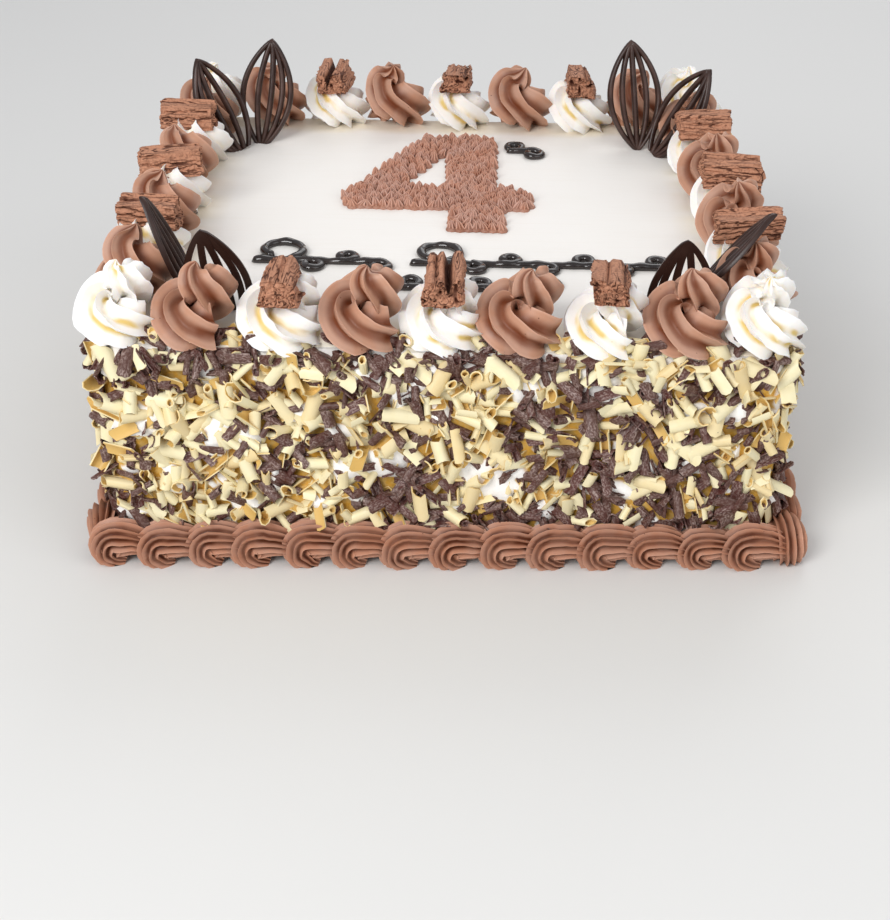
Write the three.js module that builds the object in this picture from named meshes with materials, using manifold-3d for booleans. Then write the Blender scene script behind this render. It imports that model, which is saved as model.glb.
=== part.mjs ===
// A ten-inch square fresh-cream celebration cake. A ring of piped rosettes, white and chocolate
// by turns, runs round the top, with flaky chocolate bars on twelve of the white ones and a pair of
// chocolate leaves in each corner. The sides wear a thick coat of chocolate curls above a piped
// shell border, and the top carries a figure 4 of drop stars with piped scrollwork round it.
// Millimetres, +Z up, +Y away from the front, origin at the middle of the underside.

import * as THREE from 'three';
import { mergeVertices } from 'three/addons/utils/BufferGeometryUtils.js';
import Module from 'manifold-3d';

const wasm = await Module();
wasm.setup();

// ---- Driving dimensions ----------------------------------------------------------------------

const CAKE_WIDTH = 254;
const CAKE_HEIGHT = 91;
const CAKE_CORNER_RADIUS = 8;
const CAKE_CORNER_STEPS = 3;
const TOP_EDGE_ROUND = 4;
const TOP_FALL = 0.0215;
const JOINT_GAP = 0.3;

const COAT_THICKNESS = 7.6;
const COAT_UNEVENNESS = 1.1;
const COAT_SIDE_STEPS = 8;

const BORDER_DEPTH = 16.4;
const BORDER_HEIGHT = 17;
const SHELLS_PER_SIDE = 14;

const RING_HALF_WIDTH = 121;
const RING_HALF_DEPTH = 119;
const ROSETTES_PER_SIDE = 8;
const ROSETTE_RADIUS = 15.2;
const ROSETTE_HEIGHT = 29;
const PRESSED_HEIGHT = 17.5;
const ROSETTE_LOBES = 6;
const RADIUS_UNEVENNESS = 0.015;
const HEIGHT_UNEVENNESS = 0.05;
const SWIRL_TURN_UNEVENNESS = 0.3;
const CORNER_PULL = { distance: 7, from: -20, to: 90 };
const FRONT_SHIFTS = [-0.5, -0.5, 1.5, 1.9, 1.2, 0.7, 2.4, 2.2];

const FLAKE_LENGTH = 26.5;
const FLAKE_WIDTH = 15.5;
const FLAKE_THICKNESS = 10;
const FLAKE_LAYERS = 3;
const FLAKE_FOLD_DEPTH = 1.3;
const FLAKE_UNEVENNESS = 0.5;
const FLAKE_TURN_UNEVENNESS = 0.12;
const FLAKE_END_SKEW = 2;
const FLAKE_SLIDES = { front_flake_2: 5, left_flake_2: 2, left_flake_6: -1.5 };

const LEAF_WIDTH = 26.5;
const LEAF_FULL_LENGTH = 53;
const LEAF_THICKNESS = 2.2;
const LEAF_RIB_WIDTH = 3.2;
const LEAF_SLOTS = 4;
const LEAF_FULLNESS = 0.85;

const STAR_PITCH = 6.4;
const STAR_HEIGHT = 7;
const STAR_BASE_RADIUS = 3;
const STAR_BED = 1.8;
const STAR_UNEVENNESS = 0.5;

const ROPE_WIDTH = 2.8;
const ROPE_HEIGHT = 2.2;
const SMALL_CURL_RADIUS = 4.4;
const TALL_CURL_RADIUS = 10.5;
const CURL_TURN = 0.94;
const CURL_CLOSING = 0.42;

const RIGHT_ANGLE = Math.PI / 2;
const TURN = Math.PI * 2;
const SIDES = ['front', 'right', 'back', 'left'];

// ---- Materials -------------------------------------------------------------------------------

const finish = (color, roughness) => new THREE.MeshStandardMaterial({ color, roughness, metalness: 0 });
const whiteCream = () => finish(0xf6f0e4, 0.55);
const chocolateCream = () => finish(0x9b6650, 0.5);
const darkChocolate = () => finish(0x35231d, 0.35);
const flakyChocolate = () => finish(0x94604a, 0.75);
const chocolateCurls = () => finish(0xcdb48c, 0.6);
const glossyChocolate = () => finish(0x241c1a, 0.15);

// ---- Shape helpers ---------------------------------------------------------------------------

// An even spread of values from -1 to 1, the same on every run, for what a hand leaves uneven.
function uneven(seed) {
  const wave = Math.sin(seed * 12.9898 + 4.1) * 43758.5453;
  return (wave - Math.floor(wave)) * 2 - 1;
}

// A closed skin over rings of equal point counts. Each ring runs anticlockwise seen from the end
// of the row. The ends are closed by fans from their centres, or the last one from a given tip,
// unless the row joins itself.
function skin(rings, { joinsItself = false, tip = null } = {}) {
  const count = rings[0].length;
  const positions = rings.flat().flatMap((point) => [point.x, point.y, point.z]);
  const index = [];
  const bands = joinsItself ? rings.length : rings.length - 1;
  for (let band = 0; band < bands; band += 1) {
    const low = band * count;
    const high = ((band + 1) % rings.length) * count;
    for (let i = 0; i < count; i += 1) {
      const j = (i + 1) % count;
      index.push(low + i, low + j, high + j);
      index.push(low + i, high + j, high + i);
    }
  }
  if (!joinsItself) {
    closeEnd(centreOf(rings[0]), 0, true);
    closeEnd(tip ?? centreOf(rings.at(-1)), (rings.length - 1) * count, false);
  }
  return indexed(positions, index);

  function centreOf(ring) {
    return ring.reduce((sum, point) => sum.add(point), new THREE.Vector3()).divideScalar(count);
  }

  function closeEnd(centre, start, facesBack) {
    const hub = positions.length / 3;
    positions.push(centre.x, centre.y, centre.z);
    for (let i = 0; i < count; i += 1) {
      const j = (i + 1) % count;
      const edge = facesBack ? [start + j, start + i] : [start + i, start + j];
      index.push(edge[0], edge[1], hub);
    }
  }
}

function indexed(positions, index) {
  const geometry = new THREE.BufferGeometry();
  geometry.setAttribute('position', new THREE.Float32BufferAttribute(positions, 3));
  geometry.setIndex(index);
  return geometry;
}

function toSolid(geometry) {
  const bare = geometry.clone();
  bare.deleteAttribute('normal');
  bare.deleteAttribute('uv');
  const merged = mergeVertices(bare, 1e-4);
  const vertProperties = new Float32Array(merged.attributes.position.array);
  const triVerts = new Uint32Array(merged.index.array);
  return new wasm.Manifold(new wasm.Mesh({ numProp: 3, vertProperties, triVerts }));
}

// One closed body from pieces that run into each other.
function fuse(geometries) {
  const whole = geometries.map(toSolid).reduce((sum, piece) => sum.add(piece));
  const mesh = whole.getMesh();
  return indexed(Array.from(mesh.vertProperties), Array.from(mesh.triVerts));
}

// Stations round a square with rounded corners, anticlockwise from the front-left corner's end,
// each with its outward direction.
function squareStations(halfWidth, sideSteps) {
  const stations = [];
  const straight = halfWidth - CAKE_CORNER_RADIUS;
  for (let side = 0; side < SIDES.length; side += 1) {
    const facing = side * RIGHT_ANGLE - RIGHT_ANGLE;
    const out = new THREE.Vector2(Math.cos(facing), Math.sin(facing));
    const along = new THREE.Vector2(-out.y, out.x);
    for (let step = 0; step < sideSteps; step += 1) {
      const run = -straight + (2 * straight * step) / sideSteps;
      const point = out.clone().multiplyScalar(halfWidth).addScaledVector(along, run);
      stations.push({ point, out: out.clone(), step });
    }
    for (let step = 0; step < CAKE_CORNER_STEPS; step += 1) {
      const angle = facing + (RIGHT_ANGLE * step) / CAKE_CORNER_STEPS;
      const bend = new THREE.Vector2(Math.cos(angle), Math.sin(angle));
      const centre = out.clone().add(along).multiplyScalar(straight);
      const point = centre.addScaledVector(bend, CAKE_CORNER_RADIUS);
      stations.push({ point, out: bend, corner: step });
    }
  }
  return stations;
}

const topAt = (x) => CAKE_HEIGHT - TOP_FALL * x;

// ---- Cake, coat and border -------------------------------------------------------------------

// Sponge and cream in one block, with a rounded edge round a top that falls slightly to the right.
function cakeGeometry() {
  const half = CAKE_WIDTH / 2;
  const stations = squareStations(half, 1);
  const ring = (inset, below, flat) => stations.map(({ point, out }) => {
    const spot = point.clone().addScaledVector(out, -inset);
    return new THREE.Vector3(spot.x, spot.y, flat ? 0 : topAt(spot.x) - below);
  });
  const shoulder = TOP_EDGE_ROUND * (1 - Math.SQRT1_2);
  return skin([
    ring(0, 0, true),
    ring(0, TOP_EDGE_ROUND, false),
    ring(shoulder, shoulder, false),
    ring(TOP_EDGE_ROUND, 0, false),
  ]);
}

// The coat's face from its rim to its foot: share of the thickness and share of the height.
const COAT_FACE = [
  { out: 0.85, up: 0.98 },
  { out: 1, up: 0.68 },
  { out: 1, up: 0.32 },
  { out: 0.72, up: 0.01 },
];

// A band of curls round all four sides, out to its lumpy face. Its rim stays below the swirls.
function coatGeometry() {
  const inner = CAKE_WIDTH / 2 + JOINT_GAP;
  const foot = BORDER_HEIGHT + 2 * JOINT_GAP;
  const rimDrop = 1;
  const rings = squareStations(inner, COAT_SIDE_STEPS).map(({ point, out }, station) => {
    const rim = topAt(point.x) - rimDrop;
    const lump = (row) => COAT_UNEVENNESS * uneven(station * (COAT_FACE.length + 1) + row);
    const outline = [
      [0, rim],
      ...COAT_FACE.map((share, row) => [
        COAT_THICKNESS * share.out + lump(row),
        THREE.MathUtils.lerp(foot, rim, share.up),
      ]),
      [0, foot],
    ];
    return outline.map(([away, height]) => {
      const spot = point.clone().addScaledVector(out, away);
      return new THREE.Vector3(spot.x, spot.y, height);
    });
  });
  return skin(rings, { joinsItself: true });
}

// A shell's section from its back over its crown to its foot: share of the depth and of the height.
const SHELL_SECTION = [
  { out: 0, up: 0.85 },
  { out: 0.55, up: 1 },
  { out: 1, up: 0.42 },
  { out: 0.8, up: 0 },
  { out: 0, up: 0 },
];

// Piped shells nose to tail round the foot: each swells at its head and tapers to the next.
function borderGeometry() {
  const inner = CAKE_WIDTH / 2 + JOINT_GAP;
  const swell = [0.76, 1];
  const cornerSwell = [0.8, 0.9, 0.96];
  const evenHeight = 0.25;
  const rings = squareStations(inner, SHELLS_PER_SIDE * swell.length).map(({ point, out, corner, step }) => {
    const fullness = cornerSwell[corner] ?? swell[step % swell.length];
    const depth = BORDER_DEPTH * fullness;
    const height = BORDER_HEIGHT * THREE.MathUtils.lerp(fullness, 1, evenHeight);
    return SHELL_SECTION.map((share) => {
      const spot = point.clone().addScaledVector(out, depth * share.out);
      return new THREE.Vector3(spot.x, spot.y, height * share.up);
    });
  });
  return skin(rings, { joinsItself: true });
}

// ---- Rosettes --------------------------------------------------------------------------------

// How a swirl rises to its tip: share of the height, share of the radius, and how far the lobes
// have wound back by then. A pressed swirl ends at a flat seat for the bar that lies on it.
const PEAKED_SWIRL = [
  { rise: 0, spread: 0.92, wind: 0 },
  { rise: 0.27, spread: 1, wind: 0.6 },
  { rise: 0.58, spread: 0.72, wind: 1.5 },
  { rise: 0.85, spread: 0.34, wind: 2.3 },
];
const PRESSED_SWIRL = [
  { rise: 0, spread: 0.92, wind: 0 },
  { rise: 0.45, spread: 1, wind: 0.6 },
  { rise: 1, spread: 0.62, wind: 1.4 },
];
const LOBE_DEPTH = 0.24;

function rosetteGeometry(radius, height, swirl) {
  const rings = swirl.map(({ rise, spread, wind }) => {
    const points = [];
    for (let i = 0; i < ROSETTE_LOBES * 2; i += 1) {
      const angle = (TURN * i) / (ROSETTE_LOBES * 2) - wind;
      const reach = radius * spread * (i % 2 === 0 ? 1 : 1 - LOBE_DEPTH);
      points.push(new THREE.Vector3(reach * Math.cos(angle), reach * Math.sin(angle), height * rise));
    }
    return points;
  });
  return skin(rings, { tip: new THREE.Vector3(0, 0, height) });
}

// Places round the ring, anticlockwise from each side's first corner. The far right corner was
// piped a little further in than the others, and the front row isn't quite evenly spaced.
function ringPlaces() {
  const places = [];
  SIDES.forEach((side, quarter) => {
    for (let step = 0; step < ROSETTES_PER_SIDE; step += 1) {
      const run = -RING_HALF_WIDTH + (2 * RING_HALF_WIDTH * step) / ROSETTES_PER_SIDE;
      const spot = new THREE.Vector2(run, -RING_HALF_WIDTH);
      spot.rotateAround(new THREE.Vector2(), quarter * RIGHT_ANGLE);
      const towardsBack = THREE.MathUtils.smoothstep(spot.y, CORNER_PULL.from, CORNER_PULL.to);
      const towardsRight = Math.max(0, spot.x / RING_HALF_WIDTH) ** 4;
      spot.x -= CORNER_PULL.distance * towardsBack * towardsRight;
      spot.x += side === 'front' ? FRONT_SHIFTS[step] : 0;
      spot.y *= RING_HALF_DEPTH / RING_HALF_WIDTH;
      places.push({ side, step, quarter, spot });
    }
  });
  return places;
}

// Each swirl is as wide as its neighbours leave room for.
function roomAt(place, places) {
  const others = places.filter((other) => other !== place);
  const distances = others.map((other) => other.spot.distanceTo(place.spot));
  return Math.min(ROSETTE_RADIUS, Math.min(...distances) / 2 - JOINT_GAP / 2);
}

// ---- Flaky bars ------------------------------------------------------------------------------

// A short bar of folded chocolate: its two long faces step in and out, layer on layer. Some lie
// further out over their swirls than others.
function flakeGeometry(seed) {
  const half = FLAKE_WIDTH / 2;
  const levels = FLAKE_LAYERS * 2;
  const face = [];
  for (let level = 0; level <= levels; level += 1) {
    const dent = level % 2 === 0 ? 0 : FLAKE_FOLD_DEPTH;
    const across = half - dent + FLAKE_UNEVENNESS * uneven(seed + level);
    face.push([across, (FLAKE_THICKNESS * level) / levels]);
  }
  const outline = [...face, ...face.toReversed().map(([across, level]) => [-across, level])];
  const ring = (along, skew) => outline.map(([across, level]) => (
    new THREE.Vector3(across, along + skew * (level / FLAKE_THICKNESS - 0.5), level)
  ));
  const end = (side, draw) => ring((side * FLAKE_LENGTH) / 2, FLAKE_END_SKEW * uneven(seed + draw));
  return skin([end(1, levels + 1), end(-1, levels + 2)]);
}

// ---- Chocolate leaves ------------------------------------------------------------------------

// A pointed oval of five ribs that run together at the tip. Its length runs from -1 at the hidden
// end to 1 at the tip, and it is cut square at the foot, where it meets the cream.
const LEAF_TIP = 0.99;
const leafHalfWidth = (u) => (LEAF_WIDTH / 2) * Math.cos(u * RIGHT_ANGLE) ** LEAF_FULLNESS;

function leafGeometry(foot) {
  const height = (u) => ((u - foot) * LEAF_FULL_LENGTH) / 2;
  const clear = 0.1;
  const edgeSteps = [foot, ...[-0.5, -0.15, 0.2, 0.5, 0.78].filter((u) => u > foot + clear)];
  const shape = new THREE.Shape([
    ...edgeSteps.map((u) => new THREE.Vector2(leafHalfWidth(u), height(u))),
    new THREE.Vector2(0, height(LEAF_TIP)),
    ...edgeSteps.toReversed().map((u) => new THREE.Vector2(-leafHalfWidth(u), height(u))),
  ]);
  const slotFrom = Math.max(-0.6, foot + clear);
  const slotTo = 0.6;
  const slotSides = [-0.35, 0, 0.35].filter((u) => u > slotFrom + clear);
  const ribCentre = (rib, u) => ((2 * rib) / LEAF_SLOTS - 1) * (leafHalfWidth(u) - LEAF_RIB_WIDTH / 2);
  for (let slot = 0; slot < LEAF_SLOTS; slot += 1) {
    const left = (u) => ribCentre(slot, u) + LEAF_RIB_WIDTH / 2;
    const right = (u) => ribCentre(slot + 1, u) - LEAF_RIB_WIDTH / 2;
    const middle = (u) => new THREE.Vector2((left(u) + right(u)) / 2, height(u));
    shape.holes.push(new THREE.Path([
      middle(slotFrom),
      ...slotSides.map((u) => new THREE.Vector2(right(u), height(u))),
      middle(slotTo),
      ...slotSides.toReversed().map((u) => new THREE.Vector2(left(u), height(u))),
    ]));
  }
  const geometry = new THREE.ExtrudeGeometry(shape, { depth: LEAF_THICKNESS, bevelEnabled: false });
  geometry.translate(0, 0, -LEAF_THICKNESS / 2);
  return geometry;
}

// Where each leaf stands, how its tip leans from there, which way its face looks (0 is straight
// out of the cake's front, positive turns to the right), and how much of it stands out of the cream.
const LEAVES = [
  { name: 'leaf_back_left_upright', foot: [-93.2, 87], lean: [5.6, 11.9, 46.4], face: -5, shown: 48.6 },
  { name: 'leaf_back_left_leaning', foot: [-102.5, 77.5], lean: [-18.4, 2.9, 40.4], face: 46, shown: 44.8 },
  { name: 'leaf_back_right_upright', foot: [88, 87.5], lean: [-5.3, 12.5, 48.9], face: 4, shown: 51 },
  { name: 'leaf_back_right_leaning', foot: [96.3, 81], lean: [22, -2, 40.2], face: -58, shown: 46 },
  { name: 'leaf_front_left_facing', foot: [-84, -100.5], lean: [-6.7, -8, 34.5], face: 176, shown: 36.3 },
  { name: 'leaf_front_left_edgeways', foot: [-99, -86], lean: [-16.8, -2.9, 40.6], face: 94, shown: 44.3 },
  { name: 'leaf_front_right_facing', foot: [90.5, -100.5], lean: [0.8, -7.2, 35.9], face: 184, shown: 36.9 },
  { name: 'leaf_front_right_edgeways', foot: [96, -85], lean: [30.1, -2.4, 37.7], face: -101, shown: 48.6 },
];

function leafMesh({ name, foot, lean, face, shown }) {
  const rise = new THREE.Vector3(...lean).normalize();
  const turn = THREE.MathUtils.degToRad(face);
  const look = new THREE.Vector3(Math.sin(turn), -Math.cos(turn), 0);
  look.addScaledVector(rise, -look.dot(rise)).normalize();
  const across = new THREE.Vector3().crossVectors(rise, look);
  const cut = 1 - (2 * shown) / LEAF_FULL_LENGTH;
  const leaf = new THREE.Mesh(leafGeometry(cut), darkChocolate());
  leaf.name = name;
  leaf.setRotationFromMatrix(new THREE.Matrix4().makeBasis(across, rise, look));
  const footReach = leafHalfWidth(cut) * Math.abs(across.z) + LEAF_THICKNESS * Math.abs(look.z);
  leaf.position.set(foot[0], foot[1], footReach + JOINT_GAP);
  return leaf;
}

// ---- Figure 4 --------------------------------------------------------------------------------

// Outline of the figure on the top, with its stem, crossbar and slanting stroke, and the opening
// they enclose.
const FIGURE = { left: -50, right: 37, front: -18, back: 96.5, slantTop: -14.5 };
const STEM = { left: -4, right: 20.5 };
const STEM_FOOT = { left: -0.5, right: 24.5 };
const BAR = { front: 6, back: 28.5 };
const OPENING = { left: -24, back: 73.5, cornerRight: -2 };

function figureOutline() {
  const corner = 7;
  return [
    [STEM_FOOT.left, FIGURE.front],
    [STEM_FOOT.right, FIGURE.front],
    [STEM_FOOT.right, BAR.front],
    [FIGURE.right, BAR.front],
    [FIGURE.right, BAR.back - corner],
    [FIGURE.right - corner, BAR.back],
    [STEM.right, BAR.back],
    [STEM.right, FIGURE.back - corner],
    [STEM.right - corner, FIGURE.back],
    [FIGURE.slantTop, FIGURE.back],
    [FIGURE.left + corner, BAR.back + corner / 2],
    [FIGURE.left, BAR.back - corner],
    [FIGURE.left + corner / 2, BAR.front],
    [STEM_FOOT.left, BAR.front],
  ];
}

const figureOpening = () => [
  [OPENING.left, BAR.back],
  [STEM.left, OPENING.back],
  [OPENING.cornerRight, BAR.back],
];

// Where a row across the figure enters and leaves its strokes.
function crossings(y, loops) {
  const hits = [];
  loops.forEach((loop) => loop.forEach(([x0, y0], i) => {
    const [x1, y1] = loop[(i + 1) % loop.length];
    if ((y0 <= y) !== (y1 <= y)) {
      hits.push(x0 + ((y - y0) / (y1 - y0)) * (x1 - x0));
    }
  }));
  return hits.sort((a, b) => a - b);
}

function figureGeometry() {
  const outline = figureOutline();
  const opening = figureOpening();
  const shape = new THREE.Shape(outline.map(([x, y]) => new THREE.Vector2(x, y)));
  shape.holes.push(new THREE.Path(opening.map(([x, y]) => new THREE.Vector2(x, y))));
  const bed = new THREE.ExtrudeGeometry(shape, { depth: STAR_BED, bevelEnabled: false });
  const stars = [];
  const rows = Math.round((FIGURE.back - FIGURE.front) / STAR_PITCH);
  const rowPitch = (FIGURE.back - FIGURE.front) / rows;
  const sunk = JOINT_GAP;
  for (let row = 0; row < rows; row += 1) {
    const y = FIGURE.front + rowPitch * (row + 0.5);
    const hits = crossings(y, [outline, opening]);
    for (let span = 0; span + 1 < hits.length; span += 2) {
      const width = hits[span + 1] - hits[span];
      const count = Math.max(1, Math.round(width / STAR_PITCH));
      for (let i = 0; i < count; i += 1) {
        const height = STAR_HEIGHT - STAR_BED + sunk + STAR_UNEVENNESS * uneven(row * 31 + i);
        const star = new THREE.ConeGeometry(STAR_BASE_RADIUS, height, 4);
        star.rotateX(RIGHT_ANGLE);
        star.translate(hits[span] + (width * (i + 0.5)) / count, y, STAR_BED - sunk + height / 2);
        stars.push(star);
      }
    }
  }
  return fuse([bed, ...stars]);
}

// ---- Scrollwork ------------------------------------------------------------------------------

// A flat-bottomed rope along a path that lies on the top.
function ropeGeometry(path) {
  const rings = path.map((point, i) => {
    const ahead = path[Math.min(i + 1, path.length - 1)];
    const behind = path[Math.max(i - 1, 0)];
    const heading = ahead.clone().sub(behind).normalize();
    const across = new THREE.Vector2(-heading.y, heading.x);
    const section = [[0.5, 0], [0.32, 1], [-0.32, 1], [-0.5, 0]];
    return section.map(([side, level]) => {
      const spot = point.clone().addScaledVector(across, side * ROPE_WIDTH);
      return new THREE.Vector3(spot.x, spot.y, level * ROPE_HEIGHT);
    });
  });
  return skin(rings);
}

// A running stem with curls above and below it by turns; the first curl may be tall.
function scrollGeometry(start, y, curls, pitch, firstRadius) {
  const ropes = [];
  const curlSteps = 6;
  const stemShare = 0.35;
  let stemFrom = start;
  for (let curl = 0; curl < curls; curl += 1) {
    const radius = curl === 0 ? firstRadius : SMALL_CURL_RADIUS;
    const lift = curl % 2 === 0 ? 1 : -1;
    const bend = start + firstRadius - SMALL_CURL_RADIUS + pitch * (curl + stemShare);
    const path = [new THREE.Vector2(stemFrom, y)];
    for (let step = 0; step <= curlSteps; step += 1) {
      const angle = -RIGHT_ANGLE + (step / curlSteps) * TURN * CURL_TURN;
      const reach = radius * (1 - CURL_CLOSING * (step / curlSteps));
      const high = radius + reach * Math.sin(angle);
      path.push(new THREE.Vector2(bend + reach * Math.cos(angle), y + lift * high));
    }
    ropes.push(ropeGeometry(path));
    stemFrom = bend - ROPE_WIDTH / 2;
  }
  return fuse(ropes);
}

const SCROLLS = [
  { name: 'scroll_left', start: -80, y: -54, curls: 4, pitch: 14, firstRadius: TALL_CURL_RADIUS },
  { name: 'scroll_right', start: -15, y: -54, curls: 7, pitch: 15, firstRadius: TALL_CURL_RADIUS },
  { name: 'scroll_lower', start: -19, y: -78, curls: 5, pitch: 14, firstRadius: SMALL_CURL_RADIUS },
  { name: 'scroll_beside_figure', start: 25, y: 80, curls: 2, pitch: 9.5, firstRadius: SMALL_CURL_RADIUS },
];

// ---- Assembly --------------------------------------------------------------------------------

function named(name, geometry, material) {
  const mesh = new THREE.Mesh(geometry, material);
  mesh.name = name;
  return mesh;
}

// The white swirls with a bar on them: the even ones of each side, apart from its corner.
const carriesFlake = (step) => step % 2 === 0 && step > 0;

function addRosettes(top) {
  const places = ringPlaces();
  places.forEach((place, seed) => {
    const { side, step, quarter, spot } = place;
    const pressed = carriesFlake(step);
    const radius = roomAt(place, places) * (1 - RADIUS_UNEVENNESS * (1 - uneven(seed)));
    const height = pressed ? PRESSED_HEIGHT : ROSETTE_HEIGHT * (1 + HEIGHT_UNEVENNESS * uneven(seed + 50));
    const swirl = pressed ? PRESSED_SWIRL : PEAKED_SWIRL;
    const cream = step % 2 === 0 ? whiteCream() : chocolateCream();
    const rosette = named(`${side}_rosette_${step}`, rosetteGeometry(radius, height, swirl), cream);
    rosette.position.set(spot.x, spot.y, JOINT_GAP);
    rosette.rotation.z = quarter * RIGHT_ANGLE + SWIRL_TURN_UNEVENNESS * uneven(seed + 70);
    top.add(rosette);
    if (pressed) {
      const name = `${side}_flake_${step}`;
      const flake = named(name, flakeGeometry(seed), flakyChocolate());
      flake.position.set(spot.x, spot.y, PRESSED_HEIGHT + 3 * JOINT_GAP);
      flake.rotation.z = quarter * RIGHT_ANGLE + FLAKE_TURN_UNEVENNESS * uneven(seed + 90);
      flake.translateY(-(FLAKE_SLIDES[name] ?? 0));
      top.add(flake);
    }
  });
}

const cake = new THREE.Group();
cake.add(named('cake_block', cakeGeometry(), whiteCream()));
cake.add(named('curl_coat', coatGeometry(), chocolateCurls()));
cake.add(named('shell_border', borderGeometry(), chocolateCream()));

// Everything on the top shares its slight fall to the right.
const top = new THREE.Group();
top.position.z = CAKE_HEIGHT;
top.rotation.y = Math.atan(TOP_FALL);
cake.add(top);

addRosettes(top);
LEAVES.forEach((leaf) => top.add(leafMesh(leaf)));

const figure = named('figure_four', figureGeometry(), chocolateCream());
figure.position.z = JOINT_GAP;
top.add(figure);

SCROLLS.forEach(({ name, start, y, curls, pitch, firstRadius }) => {
  const scroll = named(name, scrollGeometry(start, y, curls, pitch, firstRadius), glossyChocolate());
  scroll.position.z = JOINT_GAP;
  top.add(scroll);
});

export default cake;
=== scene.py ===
import math
from typing import NamedTuple

import bpy
import numpy as np
from bpy.props import FloatProperty, FloatVectorProperty, IntProperty, PointerProperty
from bpy.types import Operator, Panel, PropertyGroup
from mathutils import Matrix, Vector


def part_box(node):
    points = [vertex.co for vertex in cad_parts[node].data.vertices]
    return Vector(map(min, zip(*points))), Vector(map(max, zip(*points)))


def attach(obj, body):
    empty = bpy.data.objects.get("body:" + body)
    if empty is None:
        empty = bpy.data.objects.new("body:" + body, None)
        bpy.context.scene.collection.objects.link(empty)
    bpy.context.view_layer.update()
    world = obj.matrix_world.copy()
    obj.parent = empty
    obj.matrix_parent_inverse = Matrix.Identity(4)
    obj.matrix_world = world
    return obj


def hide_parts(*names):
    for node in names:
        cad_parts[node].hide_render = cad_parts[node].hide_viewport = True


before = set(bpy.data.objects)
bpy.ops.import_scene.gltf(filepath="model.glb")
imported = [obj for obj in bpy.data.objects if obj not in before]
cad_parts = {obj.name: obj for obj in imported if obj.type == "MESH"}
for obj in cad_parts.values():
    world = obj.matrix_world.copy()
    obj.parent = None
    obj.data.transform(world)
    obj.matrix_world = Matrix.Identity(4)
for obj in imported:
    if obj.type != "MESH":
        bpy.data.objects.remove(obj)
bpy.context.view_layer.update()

bl_info = {
    "name": "Number Cake",
    "version": (1, 0, 0),
    "blender": (4, 5, 0),
    "location": "3D View > Sidebar > Number Cake",
    "description": "Piped cream, chocolate curls, flaky bars and leaves on a square number cake",
    "category": "Add Mesh",
}

BODY = "root"
MM = 0.001
TURN = 2 * math.pi
QUARTER_TURN = TURN / 4
SIDES = ("front", "right", "back", "left")


# ---- Properties ------------------------------------------------------------------------------

def linear(hex_colour):
    """An sRGB hex value as the linear colour that shaders take."""
    channels = [int(hex_colour[i:i + 2], 16) / 255 for i in (0, 2, 4)]
    return [c / 12.92 if c <= 0.04045 else ((c + 0.055) / 1.055) ** 2.4 for c in channels]


def size_property(name, millimetres, description):
    return FloatProperty(
        name=name, description=description, default=millimetres * MM,
        min=0, precision=4, unit="LENGTH", subtype="DISTANCE",
    )


def colour_property(name, hex_colour, description):
    return FloatVectorProperty(
        name=name, description=description, default=linear(hex_colour),
        size=3, min=0, max=1, subtype="COLOR",
    )


def count_property(name, number, description):
    return IntProperty(name=name, description=description, default=number, min=1)


def share_property(name, share, description):
    return FloatProperty(name=name, description=description, default=share, min=0, max=1, subtype="FACTOR")


def number_property(name, number, description):
    return FloatProperty(name=name, description=description, default=number, min=0)


class CreamSettings(PropertyGroup):
    """The spread cream under everything, and the two creams that are piped on it."""
    line_pitch: size_property("Scraper line pitch", 1.25, "Distance between the fine lines of the scraper")
    line_depth: size_property("Scraper line depth", 0.13, "Depth of those lines")
    edge_round: size_property("Top edge", 4.0, "Rounding of the top edge")
    corner_round: size_property("Corner", 8.0, "Rounding of the upright corners")
    spread: colour_property("Spread cream", "F8F4EE", "Colour of the cream spread on the top")
    white: colour_property("White cream", "FBF8F3", "Colour of the piped white cream where it stands out")
    # Painted shade: the golden colour of the white cream's creases, also used in a band on the top beside
    # the swirls.
    white_deep: colour_property("White cream, deep", "E2C679", "Colour of the piped white cream in creases")
    chocolate: colour_property("Chocolate cream", "C09680", "Colour of the swirls where they stand out")
    # Painted shade: the colour of the swirls' creases.
    chocolate_deep: colour_property("Chocolate cream, deep", "743E24", "Colour of the swirls in creases")


class SwirlSettings(PropertyGroup):
    """The swirls piped round the top."""
    radius: size_property("Radius", 18.3, "How far a swirl's crests reach from its middle")
    rope_share: share_property("Rope share", 0.57, "Thickness of the rope as a share of the swirl's radius")
    turns: number_property("Turns", 1.35, "How often the rope goes round before it reaches the peak")
    lobes: count_property("Lobes", 6, "Teeth of the star nozzle for the chocolate cream")
    white_lobes: count_property("White lobes", 7, "Teeth of the star nozzle for the white cream")
    lobe_depth: share_property("Lobe depth", 0.46, "Depth of the creases as a share of the rope")
    lip: number_property("Lip", 0.62, "How far creases lie towards one lip: 1 is half way between two")
    sag: number_property("Sag", 0.015, "Drop of the overhang, in millimetres for its reach in them squared")
    rise: size_property("Height", 29.5, "Height of a swirl with a free peak")
    pressed: size_property("Pressed height", 23.0, "Height of a swirl that a bar is pressed into")
    rings: count_property("Rings", 56, "Sections along the rope")


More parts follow.
